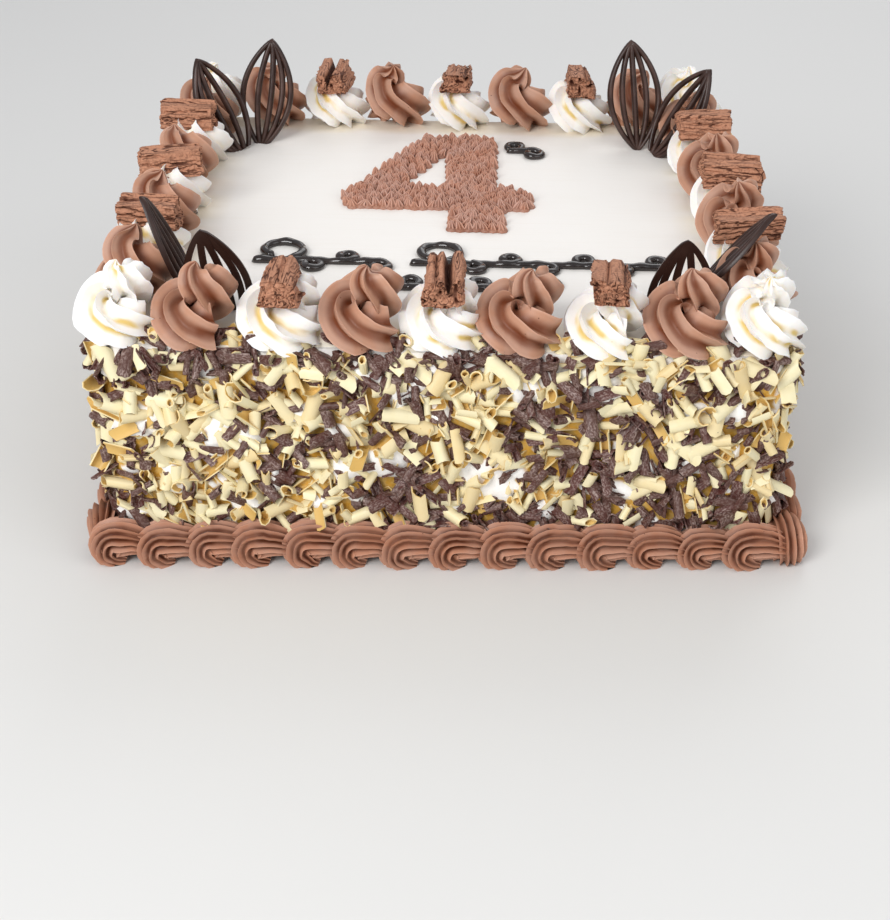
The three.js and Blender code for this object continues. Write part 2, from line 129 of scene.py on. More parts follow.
class CurlSettings(PropertyGroup):
    """The curls of white and dark chocolate on the sides."""
    rows: count_property("Rows", 26, "Rows of curls up each side")
    on_rim: count_property("Curls on the rim", 300, "Curls that lie on the top's edge, between the swirls")
    spacing: size_property("Spacing", 6.6, "Distance between curls in a row")
    length_least: size_property("Shortest curl", 6.0, "Length of the shortest curls")
    length_most: size_property("Longest curl", 12.5, "Length of the longest curls")
    radius: size_property("Curl radius", 2.25, "Radius of a rolled curl")
    below_rim: size_property("Below the rim", 0.8, "How far below the top's level the highest curls stay")
    behind: size_property("Below the rim, behind", 4.0, "How far below it they stay at the back")
    shaving: size_property("Shaving", 0.6, "Thickness of the shaving that a curl is rolled from")
    clump: size_property("Clump", 10.0, "Size of the clumps of one colour")
    pale_share: share_property("Pale share", 0.51, "Share of the curls that are white chocolate")
    white: colour_property("White chocolate", "F0E6BF", "Colour of the white chocolate curls")
    # Painted shade: the golden inside of the white curls.
    white_deep: colour_property("White chocolate, inside", "D9B267", "Colour inside the white curls")
    # Painted shade and painted glow: the amber of the cream between the curls.
    amber: colour_property("Cream between curls", "D9A544", "Colour of the cream between white curls")
    dark: colour_property("Dark chocolate", "523127", "Colour of the dark curls")
    # Painted shade: the dark red inside of the dark curls.
    dark_deep: colour_property("Dark chocolate, inside", "4E1F18", "Colour inside the dark curls")
    # Partly bloomed chocolate and partly painted highlight, in streaks on the dark curls.
    bloom_and_highlight: colour_property("Bloom", "A48F87", "Colour of the pale bloom that rubbing leaves on dark curls")


class ShellSettings(PropertyGroup):
    """The piped shells round the foot."""
    per_side: count_property("Shells per side", 14, "Number of shells along each side")
    ridges: count_property("Ridges", 15, "Teeth of the star nozzle")
    ridge_depth: share_property("Ridge depth", 0.34, "Depth of the ridges as a share of the rope")
    lip: number_property("Lip", 0.75, "How far creases lie towards one lip: 1 is half way between two")
    cream: colour_property("Chocolate cream", "B98A73", "Colour of the shells where they stand out")
    # Painted shade: the colour of the shells' creases.
    cream_deep: colour_property("Chocolate cream, deep", "5A2E19", "Colour of the shells in their creases")


class FlakeSettings(PropertyGroup):
    """The short flaky bars."""
    length: size_property("Length", 26.5, "Length of a bar")
    width: size_property("Width", 15.3, "Width of a bar")
    thickness: size_property("Thickness", 10.2, "Thickness of a bar")
    pitch: size_property("Mesh pitch", 0.55, "Distance between the points of the mesh")
    layer: size_property("Layer", 2.4, "Thickness of one sheet of chocolate")
    ridge: colour_property("Ridge", "C0896C", "Colour of the folds")
    # Painted shade: the colour in the crevices, holes and gaps between the folds.
    crevice: colour_property("Crevice", "471E0E", "Colour between the folds")


class LeafSettings(PropertyGroup):
    """The filigree leaves."""
    full_length: size_property("Length", 53.0, "Length of a leaf with the end that stands in the cream")
    rib_width: size_property("Rib width", 2.9, "Width of a rib")
    rib_rise: size_property("Rib rise", 2.0, "How far a rib's round front stands out")
    ribs: count_property("Ribs", 5, "Ribs in a leaf")
    dark: colour_property("Dark chocolate", "2D1A14", "Colour of the tempered chocolate")
    # Painted highlight on the ribs' crests, in patches of bloomed chocolate.
    bloom_and_highlight: colour_property("Bloom", "62483F", "Colour of the grey bloom on it")


class FigureSettings(PropertyGroup):
    """The figure of drop stars."""
    pitch: size_property("Star pitch", 3.4, "Distance between stars")
    radius: size_property("Star radius", 2.35, "Radius of a star at its foot")
    height: size_property("Star height", 4.5, "Height of a star")
    flutes: count_property("Flutes", 6, "Teeth of the star nozzle")
    flute_depth: share_property("Flute depth", 0.42, "Depth of the flutes as a share of the star's radius")
    cream: colour_property("Chocolate cream", "CCA08E", "Colour of the stars where they stand out")
    # Painted shade: the colour between the stars and in their flutes.
    cream_deep: colour_property("Chocolate cream, deep", "7E4E3A", "Colour between the stars")


class ScrollSettings(PropertyGroup):
    """The piped scrollwork."""
    width: size_property("Rope width", 3.7, "Width of the rope")
    rise: size_property("Rope height", 2.8, "Height of the rope")
    small_curl: size_property("Small curl", 4.4, "Radius of the small curls")
    tall_curl: size_property("Tall curl", 10.5, "Radius of the tall curls")
    glaze: colour_property("Chocolate glaze", "241D1B", "Colour of the glossy piping chocolate")


class StageSettings(PropertyGroup):
    """Floor, light and camera."""
    floor: colour_property("Floor", "E4E3E0", "Colour of the floor")
    focal_pixels: FloatProperty(name="Focal length", description="In pixels of the picture", default=1710)
    distance: size_property("Distance", 812.2, "Distance from the camera to what it looks at")
    elevation: FloatProperty(
        name="Elevation", description="How far the camera looks down",
        default=math.radians(30.35), subtype="ANGLE")
    yaw: FloatProperty(
        name="Yaw", description="How far the camera stands to the right",
        default=math.radians(2.1), subtype="ANGLE")
    roll: FloatProperty(
        name="Roll", description="How far the camera is tipped about its own axis",
        default=math.radians(-0.79), subtype="ANGLE")


# ---- Forms -----------------------------------------------------------------------------------

class Form(NamedTuple):
    """Points in metres, quads, triangles, and a tone at each point: 1 stands out, 0 lies deep."""
    points: np.ndarray
    quads: np.ndarray
    tris: np.ndarray
    tone: np.ndarray


NO_TRIS = np.zeros((0, 3), int)
CREASE_ROUNDNESS = 0.85
SHARP_FROM = math.radians(60)


def joined(forms):
    """Several forms as one."""
    starts = np.cumsum([0] + [len(form.points) for form in forms[:-1]])
    return Form(
        np.concatenate([form.points for form in forms]),
        np.concatenate([form.quads + start for form, start in zip(forms, starts)]),
        np.concatenate([form.tris + start for form, start in zip(forms, starts)]),
        np.concatenate([form.tone for form in forms]),
    )


def skinned(rings, tone, joins_itself=False):
    """A closed skin over rings, each anticlockwise seen from the end of the row."""
    rows, around = rings.shape[:2]
    grid = np.arange(rows * around).reshape(rows, around)
    if joins_itself:
        grid = np.vstack([grid, grid[:1]])
    low, high = grid[:-1], grid[1:]
    quads = np.stack([low, np.roll(low, -1, 1), np.roll(high, -1, 1), high], -1).reshape(-1, 4)
    points = rings.reshape(-1, 3)
    tone = np.broadcast_to(tone, (rows, around)).ravel()
    if joins_itself:
        return Form(points, quads, NO_TRIS, tone)
    hubs = rings[[0, -1]].mean(1)
    start, end = grid[0], grid[-1]
    first = np.full(around, rows * around)
    tris = np.vstack([
        np.stack([np.roll(start, -1), start, first], 1),
        np.stack([end, np.roll(end, -1), first + 1], 1),
    ])
    ends = [tone[:around].mean(), tone[-around:].mean()]
    return Form(np.vstack([points, hubs]), quads, tris, np.concatenate([tone, ends]))


def flowing(share, keys, values):
    """A smooth curve through values at keys, read off at each share."""
    keys, values = np.asarray(keys, float), np.asarray(values, float)
    slopes = np.gradient(values, keys)
    spot = np.clip(np.searchsorted(keys, share, side="right") - 1, 0, len(keys) - 2)
    span = keys[spot + 1] - keys[spot]
    t = (share - keys[spot]) / span
    return (
        (2 * t**3 - 3 * t**2 + 1) * values[spot] + (t**3 - 2 * t**2 + t) * span * slopes[spot]
        + (3 * t**2 - 2 * t**3) * values[spot + 1] + (t**3 - t**2) * span * slopes[spot + 1]
    )


def piped(path, reach, section):
    """Rings of a rope laid along path by an upright star nozzle that doesn't turn.

    Each ring is the nozzle's level section, tipped the shortest way on to the path's heading, so
    its teeth wind round the rope as the path bends, as they do when cream is piped.
    """
    heading = np.gradient(path, axis=0)
    heading /= np.linalg.norm(heading, axis=1, keepdims=True)
    axis = np.stack([-heading[:, 1], heading[:, 0], np.zeros(len(path))], 1)[:, None]
    spokes = np.concatenate([section, np.zeros((len(section), 1))], 1)[None]
    once = np.cross(axis, spokes)
    twice = np.cross(axis, once)
    spokes = spokes + once + twice / (1 + heading[:, None, 2:3])
    return path[:, None] + spokes * np.reshape(reach, (-1, 1, 1))


def star_section(teeth, depth, samples, turn, lean=1.0):
    """A nozzle's outline, of unit reach, with sharp crests and round creases, and its tone."""
    share = np.arange(teeth * samples) / samples
    crease = np.sin(np.pi * (share % 1) ** lean) ** CREASE_ROUNDNESS
    reach = 1 - depth * crease
    angle = TURN * share / teeth + turn
    return np.stack([reach * np.cos(angle), reach * np.sin(angle)], 1), 1 - crease


def rough(points, size, seed):
    """Smooth uneven values from -1 to 1 through space, in lumps of the given size."""
    table = np.random.default_rng(seed).uniform(-1, 1, 4096)
    spot = points / size + seed * 7.31
    cell = np.floor(spot).astype(np.int64)
    blend = spot - cell
    blend = blend * blend * (3 - 2 * blend)
    total = 0
    for corner in np.ndindex(2, 2, 2):
        pick = ((cell + corner) * (73856093, 19349663, 83492791)).sum(-1) % 4096
        total = total + table[pick] * np.where(corner, blend, 1 - blend).prod(-1)
    return total


def turned(points, angle):
    """Points turned about the upright axis."""
    c, s = math.cos(angle), math.sin(angle)
    return points @ np.array([[c, s, 0], [-s, c, 0], [0, 0, 1]])


def node_points(name):
    """The points of the solid that a node holds."""
    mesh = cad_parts[name].data
    points = np.zeros(len(mesh.vertices) * 3)
    mesh.vertices.foreach_get("co", points)
    return points.reshape(-1, 3)


def top_plane():
    """Height of the cake's top at its middle, and its fall for each metre to the right."""
    points = node_points("cake_block")
    left, right = (points[points[:, 0] * side > 0] for side in (-1, 1))
    left, right = (half[half[:, 2].argmax()] for half in (left, right))
    fall = (left[2] - right[2]) / (right[0] - left[0])
    return left[2] + fall * left[0], fall


TOP_MIDDLE, TOP_FALL = top_plane()


def on_top(points):
    """Points given over a level top, moved on to the cake's sloping one."""
    moved = np.array(points, float)
    moved[..., 2] += TOP_MIDDLE - TOP_FALL * moved[..., 0]
    return moved


def round_square(distance, half, corner):
    """Places that far along a square with round corners, anticlockwise from the front, and the
    way out there."""
    straight = 2 * (half - corner)
    side, along = np.divmod(distance, straight + corner * QUARTER_TURN)
    bend = np.maximum(along - straight, 0) / corner
    x = np.minimum(along, straight) - straight / 2 + corner * np.sin(bend)
    y = corner * (1 - np.cos(bend)) - half
    out_x, out_y = np.sin(bend), -np.cos(bend)
    c, s = np.cos(side * QUARTER_TURN), np.sin(side * QUARTER_TURN)
    place = np.stack([c * x - s * y, s * x + c * y, 0 * x], -1)
    out = np.stack([c * out_x - s * out_y, s * out_x + c * out_y, 0 * x], -1)
    return place, out


def way_round(half, corner):
    """Length of the way round that square."""
    return 4 * (2 * (half - corner) + corner * QUARTER_TURN)


def add_piece(name, form, material, node, grain=None):
    """A mesh object of a form, which rides on the cake and stands for the given node. Its grain
    is a place for each point in the stuff it was cut from."""
    mesh = bpy.data.meshes.new(name)
    mesh.from_pydata(form.points.tolist(), [], form.quads.tolist() + form.tris.tolist())
    tone = mesh.attributes.new("tone", "FLOAT", "POINT")
    tone.data.foreach_set("value", np.clip(form.tone, 0, 1).astype(np.float32))
    if grain is not None:
        mesh.attributes.new("grain", "FLOAT_VECTOR", "POINT").data.foreach_set("vector", grain.ravel())
    mesh.materials.append(material)
    mesh.set_sharp_from_angle(angle=SHARP_FROM)
    piece = bpy.data.objects.new(name, mesh)
    bpy.context.scene.collection.objects.link(piece)
    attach(piece, BODY)
    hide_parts(node)


# ---- Materials -------------------------------------------------------------------------------

def add_node(tree, kind, settings=None, values=None, links=None):
    """A node with its settings, the values of its sockets, and what is linked into them."""
    made = tree.nodes.new(kind)
    for key, value in (settings or {}).items():
        setattr(made, key, value)
    for key, value in (values or {}).items():
        made.inputs[key].default_value = value
    for key, source in (links or {}).items():
        tree.links.new(source, made.inputs[key])
    return made


def feed(tree, socket, given):
    """Links an output into a socket, or sets the socket to a number or a colour."""
    if isinstance(given, bpy.types.NodeSocket):
        tree.links.new(given, socket)
    else:
        socket.default_value = (*given, 1.0) if socket.type == "RGBA" else given


def start_material(name, values):
    """A new material with a Principled shader, its place in the mesh, and each point's tone."""
    material = bpy.data.materials.new(name)
    material.use_nodes = True
    tree = material.node_tree
    tree.nodes.clear()
    shader = add_node(tree, "ShaderNodeBsdfPrincipled", values=values)
    add_node(tree, "ShaderNodeOutputMaterial", links={"Surface": shader.outputs["BSDF"]})
    place = add_node(tree, "ShaderNodeTexCoord").outputs["Object"]
    tone = add_node(tree, "ShaderNodeAttribute", {"attribute_name": "tone"}).outputs["Fac"]
    return material, tree, shader, place, tone


def add_grain(tree):
    """Each point's place in the stuff it was cut from."""
    return add_node(tree, "ShaderNodeAttribute", {"attribute_name": "grain"}).outputs["Vector"]


def add_noise(tree, place, size, detail=3.0, stretch=None):
    """Noise with lumps of a real size, stretched along an axis if asked."""
    if stretch:
        mapping = add_node(tree, "ShaderNodeMapping", values={"Scale": stretch}, links={"Vector": place})
        place = mapping.outputs["Vector"]
    noise = add_node(
        tree, "ShaderNodeTexNoise", values={"Scale": 1 / size, "Detail": detail}, links={"Vector": place})
    return noise.outputs["Fac"]


def add_range(tree, value, low, high, to_low=0.0, to_high=1.0):
    """A value between low and high, spread smoothly over another range."""
    return add_node(
        tree, "ShaderNodeMapRange", {"interpolation_type": "SMOOTHSTEP"},
        {"From Min": low, "From Max": high, "To Min": to_low, "To Max": to_high},
        {"Value": value}).outputs["Result"]


def add_mix(tree, factor, first, second, how="MIX"):
    """Two colours mixed. Each is a colour or an output."""
    made = add_node(tree, "ShaderNodeMix", {"data_type": "RGBA", "blend_type": how})
    for number, given in ((0, factor), (6, first), (7, second)):
        feed(tree, made.inputs[number], given)
    return made.outputs[2]


def add_math(tree, operation, *values):
    """One operation on values. Each is a number or an output."""
    made = add_node(tree, "ShaderNodeMath", {"operation": operation})
    for socket, given in zip(made.inputs, values):
        feed(tree, socket, given)
    return made.outputs[0]


def finish_material(tree, shader, colour, height, depth, strength):
    """Gives the shader its colour, and relief of a real depth."""
    tree.links.new(colour, shader.inputs["Base Color"])
    bump = add_node(
        tree, "ShaderNodeBump", values={"Distance": depth, "Strength": strength}, links={"Height": height})
    tree.links.new(bump.outputs["Normal"], shader.inputs["Normal"])


def piped_cream(name, outer, deep, glow=0.12, deepest=0.75, pit_shade_strength=0.8, cloudy=0.75, patchy=0.3):
    """Whipped cream, chilled and piped: satin, a little see-through at thin crests, with a fine
    grain of fat and the odd air bubble, its pit painted dark as painted shade. Its creases get
    painted shade, up to a tone of deepest and in patches. The lips that the nozzle's teeth leave
    get a painted highlight, a little paler."""
    material, tree, shader, place, tone = start_material(name, {
        "Roughness": 0.46, "IOR": 1.45, "Specular IOR Level": 0.35,
        "Subsurface Weight": glow, "Subsurface Scale": 1.2 * MM, "Subsurface Radius": (1.0, 0.75, 0.5),
    })
    cloud = add_noise(tree, place, 9 * MM, 2)
    # Painted shade: the creases, where the tone is low, darken towards the deep colour, in patches.
    creased = add_range(tree, tone, 0.0, deepest, 1.0, 0.0)
    patch = add_range(tree, add_noise(tree, place, 12 * MM, 1), 0.45, 0.6, 1 - patchy, 1.0)
    colour = add_mix(tree, add_math(tree, "MULTIPLY", creased, patch), outer, deep)
    clouded = add_range(tree, cloud, 0.42, 0.62, 0, cloudy)
    colour = add_mix(tree, clouded, colour, (1.0, 0.87, 0.76), "MULTIPLY")
    # Painted highlight: a paler line along the lips, where the tone is highest.
    lip_highlight = [min(1.0, 1.25 * c) for c in outer]
    colour = add_mix(tree, add_range(tree, tone, 0.8, 1.0, 0.0, 0.7), colour, lip_highlight)
    # Painted shade: dark specks for the pits of the odd air bubble.
    bubbles = add_node(
        tree, "ShaderNodeTexVoronoi", values={"Scale": 1 / (4.2 * MM)}, links={"Vector": place})
    pit_shade = add_range(tree, bubbles.outputs["Distance"], 0.04, 0.09, pit_shade_strength, 0.0)
    here = add_range(tree, add_noise(tree, place, 14 * MM, 1), 0.5, 0.6)
    pit_shade = add_math(tree, "MULTIPLY", pit_shade, here)
    colour = add_mix(tree, pit_shade, colour, [0.5 * c for c in deep])
    finish_material(tree, shader, colour, add_noise(tree, place, 0.7 * MM, 4), 0.1 * MM, 0.6)
    return material


def spread_cream(settings):
    """Whipped cream drawn smooth with a scraper: matt, warm white, with faint streaks along the
    way the scraper went."""
    material, tree, shader, place, tone = start_material("whipped_cream_scraped_smooth", {
        "Roughness": 0.5, "IOR": 1.45, "Specular IOR Level": 0.3,
    })
    streak = add_noise(tree, place, 1.3 * MM, 2, (0.04, 1.0, 1.0))
    # Yellower in a band along the edge, beside the swirls, where the tone is lower.
    edge_band_tint = add_mix(tree, tone, settings.white_deep, settings.spread)
    streaked = add_range(tree, streak, 0.45, 0.8, 0, 0.16)
    colour = add_mix(tree, streaked, edge_band_tint, (0.9, 0.86, 0.8), "MULTIPLY")
    finish_material(tree, shader, colour, streak, 0.08 * MM, 0.5)
    return material


def smeared_cream(settings, cream):
    """Whipped cream smeared on the sides and pushed about by the curls: white where it stands out,
    and amber between the curls, painted as shade and as a glow of the light that comes to it
    through white chocolate."""
    material, tree, shader, place, tone = start_material("whipped_cream_smeared", {
        "Roughness": 0.5, "IOR": 1.45, "Specular IOR Level": 0.3,
    })
    # Where the tone is high the cream stands out bare and white; elsewhere it gets painted amber shade and
    # glow.
    bare = add_range(tree, tone, 0.2, 0.5)
    lit = add_range(tree, add_noise(tree, place, 2.2 * MM, 3), 0.4, 0.65)
    colour = add_mix(tree, lit, settings.amber, settings.white_deep)
    colour = add_mix(tree, bare, colour, cream.white)
    finish_material(tree, shader, colour, add_noise(tree, place, 1.4 * MM, 4), 0.4 * MM, 0.7)
    return material


def white_shavings(settings):
    """White chocolate shaved off a block: waxy, pale yellow, with a slight sheen, and a golden
    inside painted as shade."""
    material, tree, shader, place, tone = start_material("white_chocolate_shaved", {
        "Roughness": 0.42, "IOR": 1.46, "Specular IOR Level": 0.45,
    })
    # Painted shade: golden on the inside of the shaving, where the tone is low.
    colour = add_mix(tree, tone, settings.white_deep, settings.white)
    clouded = add_range(tree, add_noise(tree, place, 4 * MM, 2), 0.4, 0.7, 0, 0.4)
    colour = add_mix(tree, clouded, colour, (1.0, 0.95, 0.82), "MULTIPLY")
    finish_material(tree, shader, colour, add_noise(tree, add_grain(tree), 0.6 * MM, 3), 0.06 * MM, 0.5)
    return material


def dark_shavings(settings):
    """Dark chocolate shaved off a block: dull brown, with whitish streaks rubbed on to the outside of
    the curls, partly bloomed chocolate and partly painted highlight, and a redder inside painted as
    shade."""
    material, tree, shader, place, tone = start_material("dark_chocolate_shaved", {
        "Roughness": 0.5, "IOR": 1.46, "Specular IOR Level": 0.5,
    })
    # Painted shade: the inside of the shaving, where the tone is low, is darker and redder.
    colour = add_mix(tree, tone, settings.dark_deep, settings.dark)
    rubbed = add_noise(tree, add_grain(tree), 0.7 * MM, 4)
    veil = add_range(tree, add_noise(tree, place, 5 * MM, 1), 0.35, 0.65, 0.3, 1.0)
    # Whitish streaks along the grain: partly bloomed chocolate, partly painted highlight.
    bloom_and_highlight = add_math(tree, "MULTIPLY", add_range(tree, rubbed, 0.42, 0.66, 0.05, 0.85), veil)
    colour = add_mix(tree, bloom_and_highlight, colour, settings.bloom_and_highlight)
    finish_material(tree, shader, colour, rubbed, 0.15 * MM, 0.6)
    return material


def flaky_chocolate(settings):
    """Milk chocolate folded in thin rippled sheets: quite matt, pale on the folds, with painted shade
    in the crevices between them, and dark crooked gaps, painted as shade, that run along the bar
    and turn to a tangle at its ends, and crumbs on it."""
    material, tree, shader, place, tone = start_material("milk_chocolate_folded_in_flakes", {
        "Roughness": 0.7, "IOR": 1.46, "Specular IOR Level": 0.3,
    })
    grain = add_grain(tree)
    # Painted shade: dark crooked lines stand in for the gaps between the sheets.
    fold = add_noise(tree, grain, 5 * MM, 2.8)
    wave = add_math(tree, "SINE", add_math(tree, "MULTIPLY", fold, 62.0))
    gap = add_range(tree, wave, -0.95, -0.2, 1.0, 0.0)
    strong = add_range(tree, add_noise(tree, grain, 3 * MM, 1), 0.35, 0.6, 0.15, 0.9)
    gap = add_math(tree, "MULTIPLY", gap, strong)
    # Painted shade in the crevices, the holes of the ends and the grooves, where the tone is low.
    colour = add_mix(tree, add_range(tree, tone, 0.1, 0.75), settings.crevice, settings.ridge)
    colour = add_mix(tree, gap, colour, settings.crevice)
    crumb = add_noise(tree, place, 1.1 * MM, 5)
    colour = add_mix(tree, add_range(tree, crumb, 0.45, 0.75, 0, 0.5), colour, settings.crevice)
    finish_material(tree, shader, colour, add_math(tree, "SUBTRACT", crumb, gap), 0.6 * MM, 0.8)
    return material


def tempered_chocolate(settings):
    """Dark chocolate, tempered and piped on to film: satin black brown, with grey on the raised
    parts: a painted highlight along the ribs' crests, in patches where the chocolate has bloomed."""
    material, tree, shader, place, tone = start_material("dark_chocolate_tempered", {
        "Roughness": 0.36, "IOR": 1.46, "Specular IOR Level": 0.5,
    })
    veil = add_noise(tree, place, 7 * MM, 3)
    # Painted highlight on the crests, where the tone is high, in patches of bloomed chocolate.
    bloom_and_highlight = add_math(tree, "MULTIPLY", add_range(tree, veil, 0.35, 0.75, 0.1, 0.7), tone)
    colour = add_mix(tree, bloom_and_highlight, settings.dark, settings.bloom_and_highlight)
    finish_material(tree, shader, colour, add_noise(tree, place, 0.8 * MM, 3), 0.08 * MM, 0.5)
    return material


def chocolate_glaze(settings):
    """Chocolate piping jelly, set soft: almost black, wet and glossy."""
    material, tree, shader, place, _ = start_material("chocolate_piping_jelly", {
        "Roughness": 0.16, "IOR": 1.5, "Specular IOR Level": 0.5,
        "Coat Weight": 0.3, "Coat Roughness": 0.08,
    })
    cloud = add_range(tree, add_noise(tree, place, 5 * MM, 2), 0.4, 0.7)
    colour = add_mix(tree, cloud, settings.glaze, [1.8 * c for c in settings.glaze])
    finish_material(tree, shader, colour, add_noise(tree, place, 2.4 * MM, 1), 0.15 * MM, 0.5)
    return material


def white_cream(settings):
    """White cream glows most, is almost free of clouds and specks, and has painted golden shade in some of
    its deepest creases only.
    """
    return piped_cream(
        "whipped_cream_piped", settings.white, settings.white_deep,
        glow=0.25, deepest=0.34, pit_shade_strength=0.3, cloudy=0.15, patchy=0.8)


def chocolate_cream(settings):
    """Chocolate cream is clouded, its air bubbles' pits painted dark as shade, and it has painted shade
    along every crease.
    """
    return piped_cream(
        "chocolate_cream_piped", settings.chocolate, settings.chocolate_deep, deepest=0.66, patchy=0.15)


# ---- Spread cream ----------------------------------------------------------------------------

BLOCK_COLUMNS = 26
ROWS_A_LINE = 3.2
EDGE_BAND_REACH = 17 * MM


def cream_block(settings):
    """The block with round edges. Its top has the fine lines that a scraper leaves, and takes a
    yellower tone beside the swirls."""
    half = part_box("cake_block")[1].x
    columns, rows = BLOCK_COLUMNS, int(ROWS_A_LINE * 2 * half / settings.line_pitch)
    x, y = np.meshgrid(np.linspace(-half, half, columns), np.linspace(-half, half, rows), indexing="ij")
    beyond_x, beyond_y = (np.maximum(np.abs(v) - half + settings.corner_round, 0) for v in (x, y))
    both = np.hypot(beyond_x, beyond_y)
    squeeze = np.where(both > 0, np.maximum(beyond_x, beyond_y) / np.maximum(both, 1e-9), 1)
    x, y = (v - np.sign(v) * (1 - squeeze) * b for v, b in ((x, beyond_x), (y, beyond_y)))
    flat = np.stack([x, y, 0 * x], -1)
    lines = np.sin(TURN * (y + 0.012 * x) / settings.line_pitch + 2 * rough(flat, 60 * MM, 3))
    fading = 0.6 + 0.4 * rough(flat, 35 * MM, 4)
    relief = 0.5 * settings.line_depth * lines * fading + 0.25 * MM * rough(flat, 40 * MM, 5)
    edge = np.clip(half - np.maximum(np.abs(x), np.abs(y)), 0, settings.edge_round)
    drop = settings.edge_round - np.sqrt(settings.edge_round**2 - (settings.edge_round - edge) ** 2)
    top = on_top(np.stack([x, y, relief - drop], -1))
    grid = np.arange(columns * rows).reshape(columns, rows)
    quads = np.stack([grid[:-1, :-1], grid[1:, :-1], grid[1:, 1:], grid[:-1, 1:]], -1).reshape(-1, 4)
    rim = np.concatenate([grid[:-1, 0], grid[-1, :-1], grid[:0:-1, -1], grid[0, :0:-1]])
    points = top.reshape(-1, 3)
    foot = points[rim] * (1, 1, 0)
    wall = len(points) + np.arange(len(rim))
    hub = np.full(len(rim), len(points) + len(rim))
    sides = np.stack([wall, np.roll(wall, -1), np.roll(rim, -1), rim], -1)
    under = np.stack([np.roll(wall, -1), wall, hub], -1)
    inwards = half - np.maximum(np.abs(x), np.abs(y))
    # The tone is lower in a band along the edge, beside the swirls.
    past_edge_band = np.clip((inwards - EDGE_BAND_REACH + 4 * MM * rough(flat, 7 * MM, 6)) / (7 * MM), 0, 1)
    tone = np.concatenate([0.75 + 0.25 * past_edge_band.ravel(), np.ones(len(rim) + 1)])
    return Form(np.vstack([points, foot, [[0, 0, 0]]]), np.vstack([quads, sides]), under, tone)


class CAKE_OT_cream_block(Operator):
    """Spreads the cream over the cake"""
    bl_idname = "cake.cream_block"
    bl_label = "Cream block"

    def execute(self, context):
        settings = context.scene.cake_cream
        form, material = cream_block(settings), spread_cream(settings)
        add_piece("cream_block", form, material, "cake_block")
        return {"FINISHED"}


# ---- Curls -----------------------------------------------------------------------------------

# Kinds of curl, as shares of one: tubes up to the first, half-open rolls up to the last, and then
# bent chips. From the one between on, a curl lies with its middle on its place, not its axis.
TUBES = 0.45
OFF_CENTRE = 0.55
TUBES_AND_ROLLS = 0.72
ROLL_CLOSING = 0.22
CURL_KINDS = 40
CORE_POINTS_ROUND = 480
CORE_POINTS_UP = 28


def rolled_curl(rng, settings):
    """A shaving rolled into a tube, a half-open roll or a bent chip, along X at the origin."""
    length = rng.uniform(settings.length_least, settings.length_most)
    kind = rng.random()
    if kind < TUBES:
        turns, radius, steps = rng.uniform(1.0, 1.3), settings.radius * rng.uniform(0.72, 1.15), 9
    elif kind < TUBES_AND_ROLLS:
        turns, radius, steps = rng.uniform(0.5, 0.85), settings.radius * rng.uniform(1.0, 1.6), 7
    else:
        radius, steps = settings.radius * rng.uniform(1.8, 3.2), 4
        turns = rng.uniform(4, 6.5) * MM / (TURN * radius)
        length *= 0.8
    angle = np.linspace(0, turns * TURN, steps + 1) + rng.uniform(0, TURN)
    winding = radius * (1 - ROLL_CLOSING * np.linspace(0, 1, steps + 1) * turns)
    outer = np.stack([winding * np.cos(angle), winding * np.sin(angle)], -1)
    inner = outer * (1 - settings.shaving / winding)[:, None]
    section = np.concatenate([outer, inner[::-1]])
    section -= section.mean(0) * (kind >= OFF_CENTRE)
    slant = rng.uniform(-0.9, 0.9, 2) * radius
    ragged = rng.uniform(-0.35, 0.35, (2, steps + 1)) * MM
    ends = [end * length / 2 + slant[i] * np.sin(angle) + ragged[i] for i, end in enumerate((-1, 1))]
    rings = np.stack([np.column_stack([np.concatenate([end, end[::-1]]), section]) for end in ends])
    across = len(section)
    low = np.arange(across)
    quads = np.stack([low, np.roll(low, -1), np.roll(low, -1) + across, low + across], -1)
    outside = np.arange(steps)
    inside = across - 1 - outside
    start = np.stack([outside + 1, outside, inside, inside - 1], -1)
    # Tone 1 on the outside of the shaving, 0 on its inside, where the materials paint shade.
    tone = np.tile(np.concatenate([np.ones(steps + 1), np.zeros(steps + 1)]), 2)
    points = rings.reshape(-1, 3)
    quads = np.vstack([quads, start, start[:, ::-1] + across])
    return Form(points, quads, NO_TRIS, tone)


def coat_core(half, corner, foot):
    """The lumpy cream that the curls stick in, with bare lumps that push out between them."""
    distance = np.linspace(0, way_round(half, corner), CORE_POINTS_ROUND, endpoint=False)
    place, out = round_square(distance, half, corner)
    foot -= 6 * MM
    rim = TOP_MIDDLE - 2 * MM - TOP_FALL * place[:, 0]
    heights = np.linspace(1, 0, CORE_POINTS_UP)
    face = place[:, None] + np.zeros((1, len(heights), 1))
    face[..., 2] = foot + (rim - foot)[:, None] * heights[None]
    bare = np.clip(3.2 * rough(face, 8 * MM, 13) + 0.8 * rough(face, 3 * MM, 14) - 0.5, 0, 1)
    lumps = (3.0 + 1.2 * rough(face, 7 * MM, 11) + 0.5 * rough(face, 2.5 * MM, 12) + 2.8 * bare) * MM
    lumps *= np.clip(np.sin(np.pi * np.clip(heights, 0.03, 0.97)) * 5, 0, 1)[None]
    face = face + out[:, None] * lumps[..., None]
    inside = (place - 4 * MM * out)[:, None]
    above, below = inside + rim[:, None, None] * (0, 0, 1), inside + (0, 0, foot)
    bare = np.clip(bare + np.clip((heights - 0.9) / 0.05, 0, 1), 0, 1)
    white = np.ones((len(place), 1))
    rings = np.concatenate([above, face, below], 1)
    return skinned(rings, np.concatenate([white, bare, white], 1), joins_itself=True)


